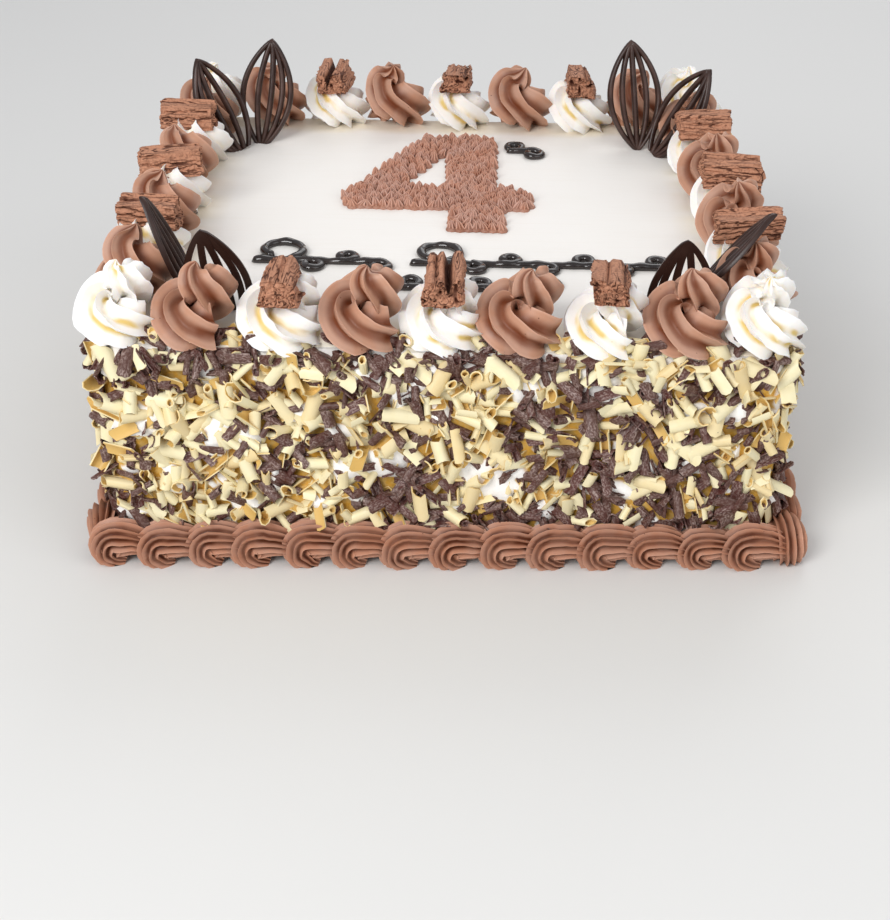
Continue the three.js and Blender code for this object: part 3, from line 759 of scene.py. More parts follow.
def curls_on_sides(rng, settings, half, corner, foot):
    """Places for curls in staggered rows up the sides, the way out there, and how high in the
    coat each lies, from 0 to 1."""
    around = way_round(half, corner)
    columns = int(around / settings.spacing)
    column, row = np.divmod(np.arange(columns * settings.rows), settings.rows)
    amount = len(column)
    distance = (column + 0.5 * (row % 2) + rng.uniform(-0.45, 0.45, amount)) % columns * around / columns
    place, out = round_square(distance, half, corner)
    foot -= 3 * MM
    rim = TOP_MIDDLE - TOP_FALL * place[:, 0] + 1 * MM
    place[:, 2] = foot + (rim - foot) * (row + 0.5 + rng.uniform(-0.5, 0.5, amount)) / settings.rows
    return place, out, rng.random(amount)


def curls_on_rim(rng, settings, half, corner):
    """The same for curls on the edge of the top between the swirls, all but at the back."""
    distance = rng.uniform(0, way_round(half, corner), settings.on_rim)
    place, out = round_square(distance, half, corner)
    place, out = place[out[:, 1] < 0.5], out[out[:, 1] < 0.5]
    inset = rng.uniform(0, 1, len(place))
    place = on_top(place - out * (inset * 9 * MM + 2 * MM)[:, None] + (0, 0, 2 * MM))
    return place, out, inset


def curl_axes(rng, out, upper):
    """Three axes for each curl. The first is its length, which lies on the side, swung any way,
    and tilts more the higher it lies."""
    swing = rng.uniform(0, math.pi, len(out))[:, None]
    tilt = (rng.normal(0, 0.42, len(out)) * (0.4 + upper))[:, None]
    level = np.cos(swing) * np.cross((0, 0, 1), out) + np.sin(swing) * (0, 0, 1)
    axis = np.cos(tilt) * level + np.sin(tilt) * out
    side = np.cross(out, axis)
    side /= np.linalg.norm(side, axis=1, keepdims=True)
    return np.stack([axis, side, np.cross(axis, side)], 1)


def scattered_curls(settings, half, corner, foot):
    """Curls of both colours stuck into the sides, in clumps, some lying on others: the form and
    the grain of the white ones, then of the dark ones."""
    rng = np.random.default_rng(41)
    on_sides = curls_on_sides(rng, settings, half, corner, foot)
    on_top_edge = curls_on_rim(rng, settings, half, corner)
    place, out, upper = (np.concatenate(pair) for pair in zip(on_sides, on_top_edge))
    amount = len(place)
    on_rim = np.arange(amount) >= len(on_sides[0])
    away = (3.0 + 4.0 * upper) * MM + 0.8 * MM * rough(place, 12 * MM, 21)
    centres = place + out * away[:, None]
    axes = curl_axes(rng, out, upper)
    flock = rough(place, settings.clump, 22) + 0.5 * rough(place, settings.clump / 2.5, 23)
    flock += rng.normal(0, 0.8, amount)
    dark = flock > np.quantile(flock, settings.pale_share)
    kinds = [rolled_curl(rng, settings) for _ in range(CURL_KINDS)]
    kind = rng.integers(0, len(kinds), amount)
    stretch = rng.uniform(0.85, 1.1, amount) * np.where(dark, 0.88, 1.03)
    shade = rng.uniform(0.0, 1.0, amount) ** np.where(dark, 1.5, 2.5) * np.where(dark, 0.8, 0.5)
    forms, grains = ([], []), ([], [])
    shift = rng.uniform(0, 1, (amount, 3))
    for number, pattern in enumerate(kinds):
        for colour in (0, 1):
            chosen = np.flatnonzero((kind == number) & (dark == bool(colour)))
            if not len(chosen):
                continue
            points = np.einsum("pk,nkj->npj", pattern.points, axes[chosen] * stretch[chosen, None, None])
            points += centres[chosen, None]
            below = np.where(out[chosen, 1] > 0.5, settings.behind, settings.below_rim)
            below = np.where(on_rim[chosen], -5 * MM, below)
            rim_here = TOP_MIDDLE - TOP_FALL * points[..., 0] - below[:, None]
            points[..., 2] -= np.clip((points[..., 2] - rim_here).max(1), 0, None)[:, None]
            starts = np.arange(len(chosen))[:, None, None] * len(pattern.points)
            quads = (pattern.quads[None] + starts).reshape(-1, 4)
            tone = pattern.tone[None] * (1 - shade[chosen, None])
            forms[colour].append(Form(points.reshape(-1, 3), quads, NO_TRIS, tone.ravel()))
            grain = pattern.points[None] * (0.6, 1, 1) + shift[chosen, None]
            grains[colour].append(grain.reshape(-1, 3))
    return [(joined(kind), np.concatenate(grain)) for kind, grain in zip(forms, grains)]


class CAKE_OT_curl_coat(Operator):
    """Sticks curls of white and dark chocolate into the sides"""
    bl_idname = "cake.curl_coat"
    bl_label = "Curl coat"

    def execute(self, context):
        settings, cream = context.scene.cake_curls, context.scene.cake_cream
        half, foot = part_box("cake_block")[1].x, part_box("curl_coat")[0].z
        core = coat_core(half, cream.corner_round, foot)
        add_piece("coat_cream", core, smeared_cream(settings, cream), "curl_coat")
        looks = (
            ("white_chocolate_curls", white_shavings(settings)),
            ("dark_chocolate_curls", dark_shavings(settings)),
        )
        curls = scattered_curls(settings, half, cream.corner_round, foot)
        for (name, material), (form, grain) in zip(looks, curls):
            add_piece(name, form, material, "curl_coat", grain)
        return {"FINISHED"}


# ---- Shell border ----------------------------------------------------------------------------

SHELL_KEYS = (0, 0.2, 0.42, 0.62, 0.82, 1)
SHELL_ALONG = (0.22, 0.02, -0.16, -0.06, 0.42, 0.98)
SHELL_OUT = (0.56, 0.57, 0.56, 0.52, 0.46, 0.4)
SHELL_HEIGHT = (0.0, 0.08, 0.3, 0.54, 0.51, 0.24)
SHELL_REACH = (0.2, 0.34, 0.44, 0.47, 0.4, 0.2)
SHELL_RINGS = 26


def shell(rng, settings, pitch, depth, height):
    """One shell along X from its round head, as a rope that curls over and trails away."""
    share = np.linspace(0, 1, SHELL_RINGS)
    size = rng.uniform(0.93, 1.07)
    path = np.stack([
        pitch * flowing(share, SHELL_KEYS, SHELL_ALONG) + 0.5 * MM * rng.normal(),
        -depth * flowing(share, SHELL_KEYS, SHELL_OUT),
        size * height * flowing(share, SHELL_KEYS, SHELL_HEIGHT),
    ], -1)
    path += 0.45 * MM * rng.normal(0, 1, 3) * np.sin(math.pi * share)[:, None]
    turn = rng.uniform(0, TURN / settings.ridges)
    section, tone = star_section(settings.ridges, settings.ridge_depth, 4, turn, settings.lip)
    rings = piped(path, size * height * flowing(share, SHELL_KEYS, SHELL_REACH), section)
    rings += 0.35 * MM * rough(rings + rng.uniform(0, 1), 4 * MM, 31)[..., None]
    rings[..., 2] = np.maximum(rings[..., 2], 0)
    return skinned(rings, tone[None])


class CAKE_OT_shell_border(Operator):
    """Pipes the shells round the foot"""
    bl_idname = "cake.shell_border"
    bl_label = "Shell border"

    def execute(self, context):
        settings = context.scene.cake_shells
        rng = np.random.default_rng(57)
        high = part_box("shell_border")[1]
        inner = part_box("cake_block")[1].x
        depth, height = high.x - inner, high.z
        reach = inner + depth / 2
        pitch = 2 * reach / settings.per_side
        material = piped_cream("chocolate_cream_piped_in_shells", settings.cream, settings.cream_deep)
        for quarter, side in enumerate(SIDES):
            shells = []
            for step in range(settings.per_side):
                form = shell(rng, settings, pitch, depth, height)
                start = (-reach + pitch * (step + 0.25), -inner, 0)
                shells.append(form._replace(points=turned(form.points + start, quarter * QUARTER_TURN)))
            add_piece(f"{side}_shells", joined(shells), material, "shell_border")
        return {"FINISHED"}


# ---- Swirls ----------------------------------------------------------------------------------

SWIRL_KEYS = (0, 0.25, 0.5, 0.7, 0.85, 1)
SWIRL_OUT = (1, 0.98, 0.8, 0.48, 0.18, 0)
SWIRL_UP = (0.2, 0.27, 0.46, 0.7, 0.87, 1)
SWIRL_REACH = (0.9, 1, 1, 0.9, 0.58, 0.05)
SWIRL_POINTS_ROUND = 56


def swirl(rng, settings, radius, height, start, lobes, ragged):
    """A rope wound clockwise up to a peak, more ragged towards it. It starts at the given angle."""
    share = np.linspace(0, 1, settings.rings)
    rope = radius * settings.rope_share
    angle = start - TURN * settings.turns * share
    out = (radius - rope) * flowing(share, SWIRL_KEYS, SWIRL_OUT)
    up = height * flowing(share, SWIRL_KEYS, SWIRL_UP)
    path = np.stack([out * np.cos(angle), out * np.sin(angle), up], -1)
    lean = rng.normal(0, 0.12, 2) * radius
    path[:, :2] += lean * (share[:, None] ** 4)
    samples = SWIRL_POINTS_ROUND // lobes
    section, tone = star_section(lobes, settings.lobe_depth, samples, rng.uniform(0, TURN), settings.lip)
    rings = piped(path, rope * flowing(share, SWIRL_KEYS, SWIRL_REACH), section)
    tear = ragged * (0.6 + 1.3 * share[:, None] ** 3) * rough(rings + start, 1.6 * MM, 52)
    rings += (0.5 * MM * rough(rings + start, 6 * MM, 51) + tear)[..., None]
    rings[..., 2] = np.maximum(rings[..., 2], -1 * MM)
    return skinned(rings, tone[None])


def sagged(points, half, height, sag):
    """Points over a level top, where what stands out past the cake's edge has sunk a little."""
    beyond = np.clip(np.abs(points[:, :2]).max(1) - half + 2 * MM, 0, None)
    low = np.clip(1 - points[:, 2] / height, 0, 1)
    return points - (sag * beyond**2 / MM * low)[:, None] * (0, 0, 1)


class CAKE_OT_swirls(Operator):
    """Pipes the white and chocolate swirls round the top"""
    bl_idname = "cake.swirls"
    bl_label = "Swirls"

    def execute(self, context):
        settings, cream = context.scene.cake_swirls, context.scene.cake_cream
        looks = (
            ("white", white_cream(cream), "white_cream", settings.white_lobes, 0.4 * MM),
            ("chocolate", chocolate_cream(cream), "chocolate_cream", settings.lobes, 0.1 * MM),
        )
        rng = np.random.default_rng(63)
        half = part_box("cake_block")[1].x
        names = [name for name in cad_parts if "_rosette_" in name]
        for name in sorted(names):
            side, _, step = name.split("_")
            low, high = (np.array(corner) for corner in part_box(name))
            radius = settings.radius * rng.uniform(0.95, 1.04)
            carries_bar = name.replace("rosette", "flake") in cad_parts
            height = settings.pressed if carries_bar else settings.rise * rng.uniform(0.95, 1.05)
            start = SIDES.index(side) * QUARTER_TURN - 0.6 + rng.normal(0, 0.25)
            colour, material, slot, lobes, ragged = looks[int(step) % 2]
            form = swirl(rng, settings, radius, height, start, lobes, ragged)
            middle = (low + high) / 2 * (1, 1, 0)
            points = sagged(form.points + middle, half, height, settings.sag)
            form = form._replace(points=on_top(points))
            add_piece(f"{side}_{colour}_swirl_{step}", form, material, name)
        return {"FINISHED"}


# ---- Flaky bars ------------------------------------------------------------------------------

SPLIT_BARS = ("front_flake_4", "back_flake_6")


def box_shell(counts):
    """The points of a box's skin on a whole-number lattice, its quads facing out."""
    points, quads = {}, []

    def number(spot):
        return points.setdefault(spot, len(points))

    for axis in range(3):
        first, second = (axis + 1) % 3, (axis + 2) % 3
        for level, order in ((0, -1), (counts[axis], 1)):
            for i in range(counts[first]):
                for j in range(counts[second]):
                    corners = []
                    for di, dj in ((0, 0), (1, 0), (1, 1), (0, 1))[::order]:
                        spot = [0, 0, 0]
                        spot[axis], spot[first], spot[second] = level, i + di, j + dj
                        corners.append(number(tuple(spot)))
                    quads.append(corners)
    return np.array(list(points)), np.array(quads)


def flaky_bar(rng, settings, lattice, quads, counts, split):
    """A bar along Y: wavy sheets show on its long faces, grooves run along its top, and its broken
    ends are a tangle of folds and holes. A split bar has one groove nearly through it."""
    sizes = np.array([settings.width, settings.length, settings.thickness]) * rng.uniform(0.92, 1.06, 3)
    share = lattice / counts * 2 - 1
    away = rng.uniform(0.2, 0.8)
    rounded = share / np.maximum(1, np.linalg.norm(share**8, axis=1, keepdims=True) ** (1 / 8))
    points = rounded * sizes / 2
    points[:, 0] *= 1 - rng.uniform(0.1, 0.5) * (share[:, 2] + 1) / 2
    points[:, 0] += rng.normal(0, 0.12) * points[:, 2]
    shifted = points + away
    long_way = shifted * (1, 0.22, 1)
    sway = 1.3 * MM * rough(long_way, 5 * MM, 71) + 0.6 * MM * rough(shifted, 2.2 * MM, 72)
    fold = (points[:, 2] + 0.25 * points[:, 0] + sway) / settings.layer
    gap = np.abs((fold % 1) - 0.5) * 2
    crevice = np.clip((gap - 0.5) / 0.5, 0, 1) ** 1.3 * (0.62 + 0.55 * rough(long_way, 6 * MM, 73))
    sheet = np.stack([np.floor(fold) * 5 * MM + away, points[:, 1] * 0.3, 0 * fold], 1)
    on_side, on_end = (np.abs(share[:, axis]) > 0.999 for axis in range(2))
    push = np.zeros_like(points)
    step = 1.5 * MM * rough(sheet, 5 * MM, 74) + 0.35 * MM * rough(shifted, 1.5 * MM, 75)
    push[:, 0] = np.sign(share[:, 0]) * on_side * (step - 2.0 * MM * crevice)
    tangle = (0.8 * points[:, 2] + 0.5 * points[:, 0]) / (1.9 * MM) + 1.7 * rough(shifted, 2.4 * MM, 76)
    ribbon = np.abs((tangle % 1) - 0.5) * 2
    holes = np.clip(rough(shifted, 1.9 * MM, 77) * 1.7 - 0.25, 0, 1)
    cave = np.maximum(holes, 0.55 * ribbon**1.5)
    broken = 1.8 * MM * rough(shifted, 5 * MM, 78)
    push[:, 1] = -np.sign(share[:, 1]) * on_end * (2.6 * MM * cave + broken)
    push[:, 2] = 0.7 * MM * rough(long_way, 3 * MM, 79)
    middle = rng.uniform(-0.38, 0.38, 4) * settings.width
    depth = rng.uniform(0.5, 2.2, 4) * MM
    if split:
        middle[0], depth[0] = 0.08 * settings.width, 0.6 * settings.thickness
    wander = points[:, 0] + 0.9 * MM * rough(long_way * (0, 1, 0), 4 * MM, 80)
    away_from = np.abs(wander - middle[:, None])
    depth = depth[:, None]
    notch = (depth * np.clip(1 - away_from / (0.9 * MM + 0.16 * depth), 0, 1)).max(0)
    moved = points + push
    ceiling = sizes[2] / 2 - notch
    buried = np.clip((moved[:, 2] - ceiling) / MM, 0, 1) * (notch > 0)
    moved[:, 2] = np.where(notch > 0, np.minimum(moved[:, 2], ceiling), moved[:, 2])
    in_notch = 0.75 * buried * np.clip(notch / (2 * MM), 0, 1)
    # The tone is low in the crevices, the holes of the ends and the grooves, where the material paints
    # shade.
    tone = 1 - np.maximum.reduce([on_side * crevice, on_end * cave, in_notch])
    return Form(moved, quads, NO_TRIS, tone)


class CAKE_OT_flaky_bars(Operator):
    """Lays the short flaky bars on the white swirls"""
    bl_idname = "cake.flaky_bars"
    bl_label = "Flaky bars"

    def execute(self, context):
        settings = context.scene.cake_flakes
        rng = np.random.default_rng(88)
        material = flaky_chocolate(settings)
        sizes = np.array([settings.width, settings.length, settings.thickness])
        counts = np.maximum(2, (sizes / settings.pitch).astype(int))
        lattice, quads = box_shell(counts)
        names = sorted(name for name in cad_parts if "_flake_" in name)
        for name in names:
            side = name.split("_")[0]
            low, high = (np.array(corner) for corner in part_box(name))
            form = flaky_bar(rng, settings, lattice, quads, counts, name in SPLIT_BARS)
            points = form.points.copy()
            grain = points * (1, 0.16, 1) + rng.uniform(0, 1, 3)
            points[:, 2] += points[:, 1] * rng.normal(0, 0.08) + points[:, 0] * rng.normal(0, 0.1)
            points = turned(points, SIDES.index(side) * QUARTER_TURN + rng.normal(0, 0.06))
            form = form._replace(points=points + (low + high) / 2)
            add_piece(name + "_folds", form, material, name, grain)
        return {"FINISHED"}


# ---- Chocolate leaves ------------------------------------------------------------------------

LEAF_RINGS = 40
LEAF_FULLNESS = 0.75
LEAF_SUNK = 3 * MM
RIB_POINTS = 9
# How far a leaf's inner ribs lie to one side, as a share of half its width: more than 0 is to the
# right, seen from the ribbed face.
GATHERED = {
    "leaf_back_left_upright": 0.2,
    "leaf_back_right_leaning": 0.25,
    "leaf_back_left_leaning": -0.25,
    "leaf_front_left_facing": -0.25,
    "leaf_front_right_facing": 0.25,
}


def leaf_frame(name):
    """A leaf's foot, its length, half its width, and its ways across, up and out of its face,
    read off the solid that stands for it: its tip is highest, and the four corners of its foot
    lie farthest from that. The ribbed face looks to the middle of the cake."""
    points = np.unique(np.round(node_points(name), 6), axis=0)
    tip = points[np.argsort(points[:, 2])[-2:]].mean(0)
    corners = points[np.argsort(np.linalg.norm(points - tip, axis=1))[-4:]]
    foot = corners.mean(0)
    rise = (tip - foot) / np.linalg.norm(tip - foot)
    across = np.linalg.svd(corners - foot)[2][0]
    look = np.cross(across, rise)
    if look @ (foot * (-1, -1, 0)) < 0:
        look, across = -look, -across
    return foot, np.linalg.norm(tip - foot), np.abs((points - foot) @ across).max(), across, rise, look


def leaf(name, settings):
    """Ribs piped from the foot to the tip, where they run together. They are half round in front
    and flat behind, and start a little way down in the cream."""
    foot, length, half_width, across, rise, look = leaf_frame(name)
    full = settings.full_length
    share = np.linspace(1 - 2 * (length + LEAF_SUNK) / full, 0.997, LEAF_RINGS)
    reach = half_width * np.cos(share * math.pi / 2) ** LEAF_FULLNESS
    height = length - (1 - share) / 2 * full
    half_rib = np.minimum(settings.rib_width / 2, reach)
    front_rise = settings.rib_rise * np.minimum(1, reach / settings.rib_width + 0.15)
    arch = np.linspace(0, math.pi, RIB_POINTS)
    ribs = []
    for rib in range(settings.ribs):
        offset = 2 * rib / (settings.ribs - 1) - 1
        offset += GATHERED.get(name, 0) * (1 - offset**2)
        centre = offset * (reach - half_rib)
        side = np.cos(arch)[None] * half_rib[:, None]
        front = np.sin(arch)[None] * front_rise[:, None]
        bow = 0.3 * MM * np.sin(3 * share + rib)
        rings = (
            foot + (centre[:, None] + side)[..., None] * across + height[:, None, None] * rise
            + (front + bow[:, None] - settings.rib_rise / 2)[..., None] * look
        )
        # The tone is highest on the crests of the ribs, where the material paints a highlight.
        ribs.append(skinned(rings, 0.1 + 0.9 * np.sin(arch)[None] ** 3))
    return joined(ribs)


class CAKE_OT_leaves(Operator):
    """Stands the chocolate leaves in the corners"""
    bl_idname = "cake.leaves"
    bl_label = "Chocolate leaves"

    def execute(self, context):
        settings = context.scene.cake_leaves
        material = tempered_chocolate(settings)
        for name in sorted(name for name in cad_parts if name.startswith("leaf_")):
            add_piece(name + "_ribs", leaf(name, settings), material, name)
        return {"FINISHED"}


# ---- Figure 4 --------------------------------------------------------------------------------

STAR_KEYS = (0, 0.15, 0.42, 0.68, 0.86, 1)
STAR_REACH = (0.82, 1, 0.9, 0.66, 0.42, 0.1)
STAR_RINGS = 6
# The reach of a star's bed as a share of the pitch, and its height as a share of the star's.
BED_PROFILE = ((0.78, 0), (0.72, 0.2), (0.4, 0.34))
BED_POINTS = 8


def drop_star(rng, settings):
    """A fluted drop of cream with a pulled tip."""
    share = np.linspace(0, 1, STAR_RINGS)
    lean = rng.normal(0, 0.2, 2)
    height = settings.height * rng.uniform(0.8, 1.12)
    path = np.stack([lean[0] * share**2, lean[1] * share**2, share], -1) * height
    section, tone = star_section(settings.flutes, settings.flute_depth, 3, rng.uniform(0, TURN))
    spokes = np.concatenate([section, np.zeros((len(section), 1))], 1)
    reach = settings.radius * rng.uniform(0.92, 1.08) * flowing(share, STAR_KEYS, STAR_REACH)
    # Painted shade: the tone is low in the flutes and towards the foot, and rises to the tip.
    return skinned(path[:, None] + spokes * reach[:, None, None], tone[None] * 0.8 + 0.2 * share[:, None])


def star_bed(settings):
    """The low round of cream that a drop star spreads out to."""
    turn = np.linspace(0, TURN, BED_POINTS, endpoint=False)
    level = np.stack([np.cos(turn), np.sin(turn), 0 * turn], -1) * settings.pitch
    rings = [level * reach + (0, 0, up * settings.height) for reach, up in BED_PROFILE]
    # Painted shade: the bed between the stars takes a low tone.
    return skinned(np.array(rings), 0.25)


# The figure's outline and the opening in it, seen from above, in millimetres.
FIGURE_OUTLINE = (
    (-0.5, -18), (24.5, -18), (24.5, 6), (37, 6), (37, 21.5), (30, 28.5), (20.5, 28.5),
    (20.5, 89.5), (13.5, 96.5), (-14.5, 96.5), (-43, 32), (-50, 21.5), (-46.5, 6), (-0.5, 6),
)
FIGURE_OPENING = ((-24, 28.5), (-4, 73.5), (-2, 28.5))


def crossings(y):
    """Where a row across the figure enters and leaves its strokes."""
    return sorted(
        x0 + (y - y0) / (y1 - y0) * (x1 - x0)
        for loop in (FIGURE_OUTLINE, FIGURE_OPENING)
        for (x0, y0), (x1, y1) in zip(loop, loop[1:] + loop[:1])
        if (y0 <= y) != (y1 <= y)
    )


def star_places(settings):
    """Where the figure's stars stand: in staggered rows across its strokes, spread evenly."""
    inset = settings.radius * 0.9
    ends = [y * MM for _, y in FIGURE_OUTLINE]
    low, high = min(ends) + inset, max(ends) - inset
    places = []
    for row, y in enumerate(np.arange(low, high + settings.pitch / 2, settings.pitch)):
        hits = crossings(min(y, high) / MM)
        for left, right in zip(hits[::2], hits[1::2]):
            span = (right - left) * MM - 2 * inset
            amount = max(1, round(span / settings.pitch))
            share = (np.arange(amount) + 0.5) / amount if row % 2 else np.linspace(0, 1, amount + 1)
            places += [(left * MM + inset + span * s, y) for s in share]
    return places


class CAKE_OT_figure(Operator):
    """Fills the figure 4 with drop stars"""
    bl_idname = "cake.figure"
    bl_label = "Figure 4"

    def execute(self, context):
        settings = context.scene.cake_figure
        rng = np.random.default_rng(97)
        stars = []
        for x, y in star_places(settings):
            form = joined([drop_star(rng, settings), star_bed(settings)])
            nudge = rng.normal(0, 0.3 * MM, 2)
            stars.append(form._replace(points=on_top(form.points + (x + nudge[0], y + nudge[1], 0))))
        material = piped_cream(
            "chocolate_cream_piped_in_drops", settings.cream, settings.cream_deep, pit_shade_strength=0.4)
        add_piece("figure_four_stars", joined(stars), material, "figure_four")
        return {"FINISHED"}


# ---- Scrollwork ------------------------------------------------------------------------------

# Where each scroll starts, the line it runs on, its number of curls and their pitch, in
# millimetres, and whether its first curl is a tall one.
SCROLLS = {
    "scroll_left": (-80, -54, 4, 14, True),
    "scroll_right": (-15, -54, 7, 15, True),
    "scroll_lower": (-19, -78, 5, 14, False),
    "scroll_beside_figure": (25, 80, 2, 9.5, False),
}
SCROLL_TURN = 0.94
SCROLL_CLOSING = 0.42


def scroll_paths(settings, start, line, curls, pitch, tall):
    """The strokes of one scroll: a running stem with curls above and below it by turns."""
    paths = []
    stem_from = start
    first = settings.tall_curl if tall else settings.small_curl
    turn = np.linspace(0, 1, 26)
    angle = TURN * (SCROLL_TURN * turn - 0.25)
    for curl in range(curls):
        radius = first if curl == 0 else settings.small_curl
        lift = 1 if curl % 2 == 0 else -1
        bend = start + first - settings.small_curl + pitch * (curl + 0.35)
        reach = radius * (1 - SCROLL_CLOSING * turn)
        bow = np.stack([bend + reach * np.cos(angle), line + lift * (radius + reach * np.sin(angle))], -1)
        stem = np.stack([np.linspace(stem_from, bend, 9)[:-1], np.full(8, line)], -1)
        paths.append(np.vstack([stem, bow]))
        stem_from = bend - settings.width / 2
    return paths


def glossy_rope(rng, settings, path):
    """A soft round rope that lies on the top, a little thicker and thinner as the hand went."""
    steps = np.concatenate([[0], np.cumsum(np.linalg.norm(np.diff(path, axis=0), axis=1))])
    along = np.linspace(0, steps[-1], max(8, int(steps[-1] / (0.9 * MM))))
    x, y = (np.interp(along, steps, path[:, i]) for i in (0, 1))
    heading = np.gradient(np.stack([x, y], -1), axis=0)
    heading /= np.linalg.norm(heading, axis=1, keepdims=True)
    across = np.stack([-heading[:, 1], heading[:, 0]], -1)
    ends = np.clip(np.minimum(along, along[-1] - along) / (settings.width / 2), 0, 1)
    wave = rng.uniform(0, TURN, 2)
    swell = 1 + 0.05 * np.sin(along / (1.1 * MM) + wave[0]) + 0.1 * np.sin(along / (2.7 * MM) + wave[1])
    swell *= np.sqrt(1 - (1 - ends) ** 2 * 0.92)
    turn = np.linspace(0, TURN, 12, endpoint=False)
    side = -np.cos(turn)[None] * swell[:, None] * settings.width / 2
    rise = (0.42 + 0.58 * np.sin(turn)[None]) * swell[:, None] * settings.rise
    rings = np.stack([
        x[:, None] + side * across[:, :1], y[:, None] + side * across[:, 1:], np.maximum(rise, 0),
    ], -1)
    return skinned(rings[:, ::-1], 1.0)


class CAKE_OT_scrollwork(Operator):
    """Pipes the glossy scrollwork on the top"""
    bl_idname = "cake.scrollwork"
    bl_label = "Scrollwork"

    def execute(self, context):
        settings = context.scene.cake_scrolls
        rng = np.random.default_rng(105)
        material = chocolate_glaze(settings)
        for name, (start, line, curls, pitch, tall) in SCROLLS.items():
            paths = scroll_paths(settings, start * MM, line * MM, curls, pitch * MM, tall)
            form = joined([glossy_rope(rng, settings, path) for path in paths])
            form = form._replace(points=on_top(form.points))
            add_piece(name + "_rope", form, material, name)
        return {"FINISHED"}


# ---- Stage -----------------------------------------------------------------------------------

PICTURE_WIDTH = 890
SENSOR_WIDTH = 36.0
TARGET = Vector((-3.5, 0, -33.1)) * MM
FLOOR_REACH = 4.0
SKY_COLOUR = (0.93, 0.95, 1.0, 1.0)
SKY_STRENGTH = 0.49

# Name, place in metres, width of the square lamp in metres, power in watts.
LAMPS = (
    ("key_light", (-0.7, -1.2, 1.0), 0.8, 18.5),
    ("fill_light", (1.1, -0.8, 0.9), 1.2, 5.2),
    ("back_light", (0.3, 1.2, 1.1), 1.0, 5.2),
)


def painted_floor(colour):
    """A painted board: matt and pale, with a faint unevenness."""
    material, tree, shader, place, _ = start_material("painted_floor", {"Roughness": 0.6})
    uneven = add_mix(tree, add_noise(tree, place, 0.2, 2), colour, [0.97 * c for c in colour])
    tree.links.new(uneven, shader.inputs["Base Color"])
    return material


def add_floor(settings):
    """A wide level floor under the cake."""
    mesh = bpy.data.meshes.new("floor")
    corners = [(FLOOR_REACH * x, FLOOR_REACH * y, 0) for x, y in ((-1, -1), (1, -1), (1, 1), (-1, 1))]
    mesh.from_pydata(corners, [], [(0, 1, 2, 3)])
    mesh.materials.append(painted_floor(settings.floor))
    floor = bpy.data.objects.new("floor", mesh)
    bpy.context.scene.collection.objects.link(floor)


def add_lamps():
    """Square lamps that look at the cake, and an even light from all round."""
    for name, place, width, power in LAMPS:
        light = bpy.data.lights.new(name, "AREA")
        light.size = width
        light.energy = power
        lamp = bpy.data.objects.new(name, light)
        lamp.location = place
        lamp.rotation_euler = (-Vector(place)).to_track_quat("-Z", "Y").to_euler()
        bpy.context.scene.collection.objects.link(lamp)
    world = bpy.data.worlds.new("studio")
    world.use_nodes = True
    background = world.node_tree.nodes["Background"]
    background.inputs["Color"].default_value = SKY_COLOUR
    background.inputs["Strength"].default_value = SKY_STRENGTH
    bpy.context.scene.world = world
    bpy.context.scene.view_settings.view_transform = "Standard"


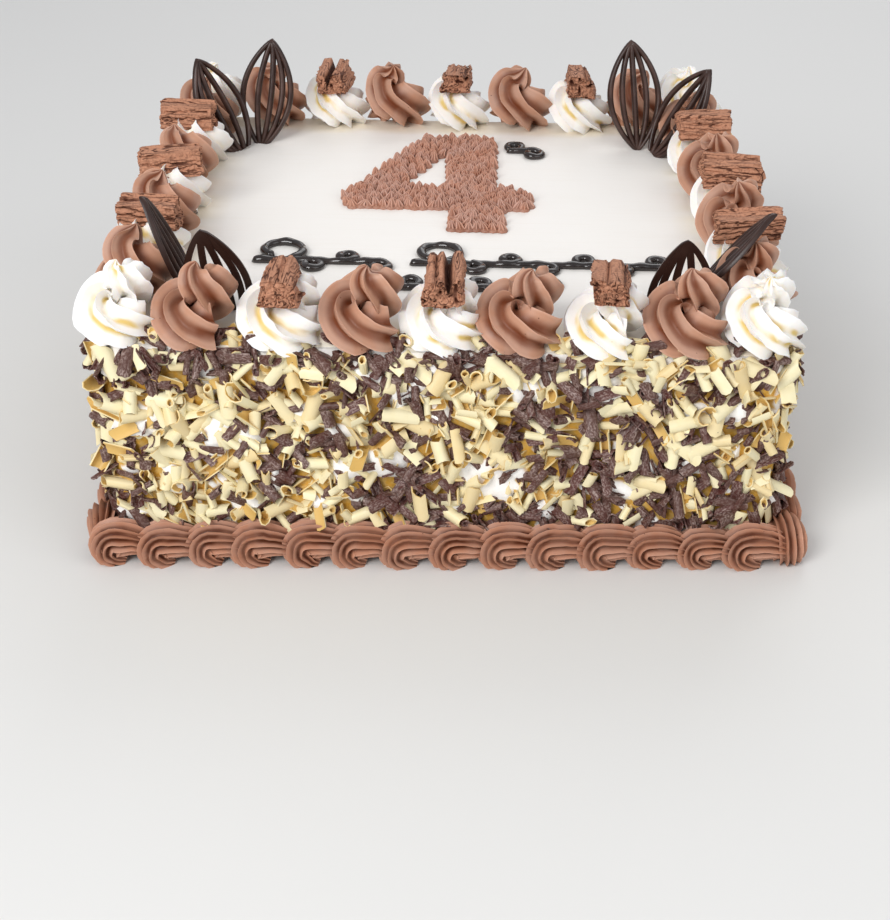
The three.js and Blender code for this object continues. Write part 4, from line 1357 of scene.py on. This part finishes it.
def add_camera(settings):
    """The camera, at the distance and angles that were fitted to the cake."""
    level = math.cos(settings.elevation)
    across, deep = math.sin(settings.yaw) * level, -math.cos(settings.yaw) * level
    back = Vector((across, deep, math.sin(settings.elevation)))
    right = Vector((0, 0, 1)).cross(back).normalized()
    up = back.cross(right)
    c, s = math.cos(settings.roll), math.sin(settings.roll)
    axes = Matrix((c * right + s * up, c * up - s * right, back)).transposed().to_4x4()
    camera = bpy.data.objects.new("camera", bpy.data.cameras.new("camera"))
    camera.data.sensor_fit = "HORIZONTAL"
    camera.data.sensor_width = SENSOR_WIDTH
    camera.data.lens = settings.focal_pixels * SENSOR_WIDTH / PICTURE_WIDTH
    camera.matrix_world = Matrix.Translation(TARGET + settings.distance * back) @ axes
    bpy.context.scene.collection.objects.link(camera)
    bpy.context.scene.camera = camera


class CAKE_OT_stage(Operator):
    """Adds the floor, the lights and the camera"""
    bl_idname = "cake.stage"
    bl_label = "Floor, light and camera"

    def execute(self, context):
        settings = context.scene.cake_stage
        add_floor(settings)
        add_lamps()
        add_camera(settings)
        return {"FINISHED"}


# ---- Add-on ----------------------------------------------------------------------------------

SETTINGS = {
    "cake_stage": StageSettings,
    "cake_cream": CreamSettings,
    "cake_curls": CurlSettings,
    "cake_shells": ShellSettings,
    "cake_swirls": SwirlSettings,
    "cake_flakes": FlakeSettings,
    "cake_leaves": LeafSettings,
    "cake_figure": FigureSettings,
    "cake_scrolls": ScrollSettings,
}
OPERATORS = (
    CAKE_OT_stage,
    CAKE_OT_cream_block,
    CAKE_OT_curl_coat,
    CAKE_OT_shell_border,
    CAKE_OT_swirls,
    CAKE_OT_flaky_bars,
    CAKE_OT_leaves,
    CAKE_OT_figure,
    CAKE_OT_scrollwork,
)


class CAKE_PT_panel(Panel):
    """Sizes, colours and pieces of the number cake"""
    bl_idname = "CAKE_PT_panel"
    bl_label = "Number Cake"
    bl_space_type = "VIEW_3D"
    bl_region_type = "UI"
    bl_category = "Number Cake"

    def draw(self, context):
        for operator in OPERATORS:
            self.layout.operator(operator.bl_idname)
        for name, group in SETTINGS.items():
            box = self.layout.box()
            box.label(text=name.replace("_", " ").capitalize())
            for setting in group.__annotations__:
                box.prop(getattr(context.scene, name), setting)


def register():
    for group in (*SETTINGS.values(), *OPERATORS, CAKE_PT_panel):
        bpy.utils.register_class(group)
    for name, group in SETTINGS.items():
        setattr(bpy.types.Scene, name, PointerProperty(type=group))


def unregister():
    for name in SETTINGS:
        delattr(bpy.types.Scene, name)
    for group in (CAKE_PT_panel, *OPERATORS, *SETTINGS.values()):
        bpy.utils.unregister_class(group)


def main():
    """Makes every piece."""
    register()
    for operator in OPERATORS:
        group, name = operator.bl_idname.split(".")
        getattr(getattr(bpy.ops, group), name)()


if __name__ == "__main__":
    main()
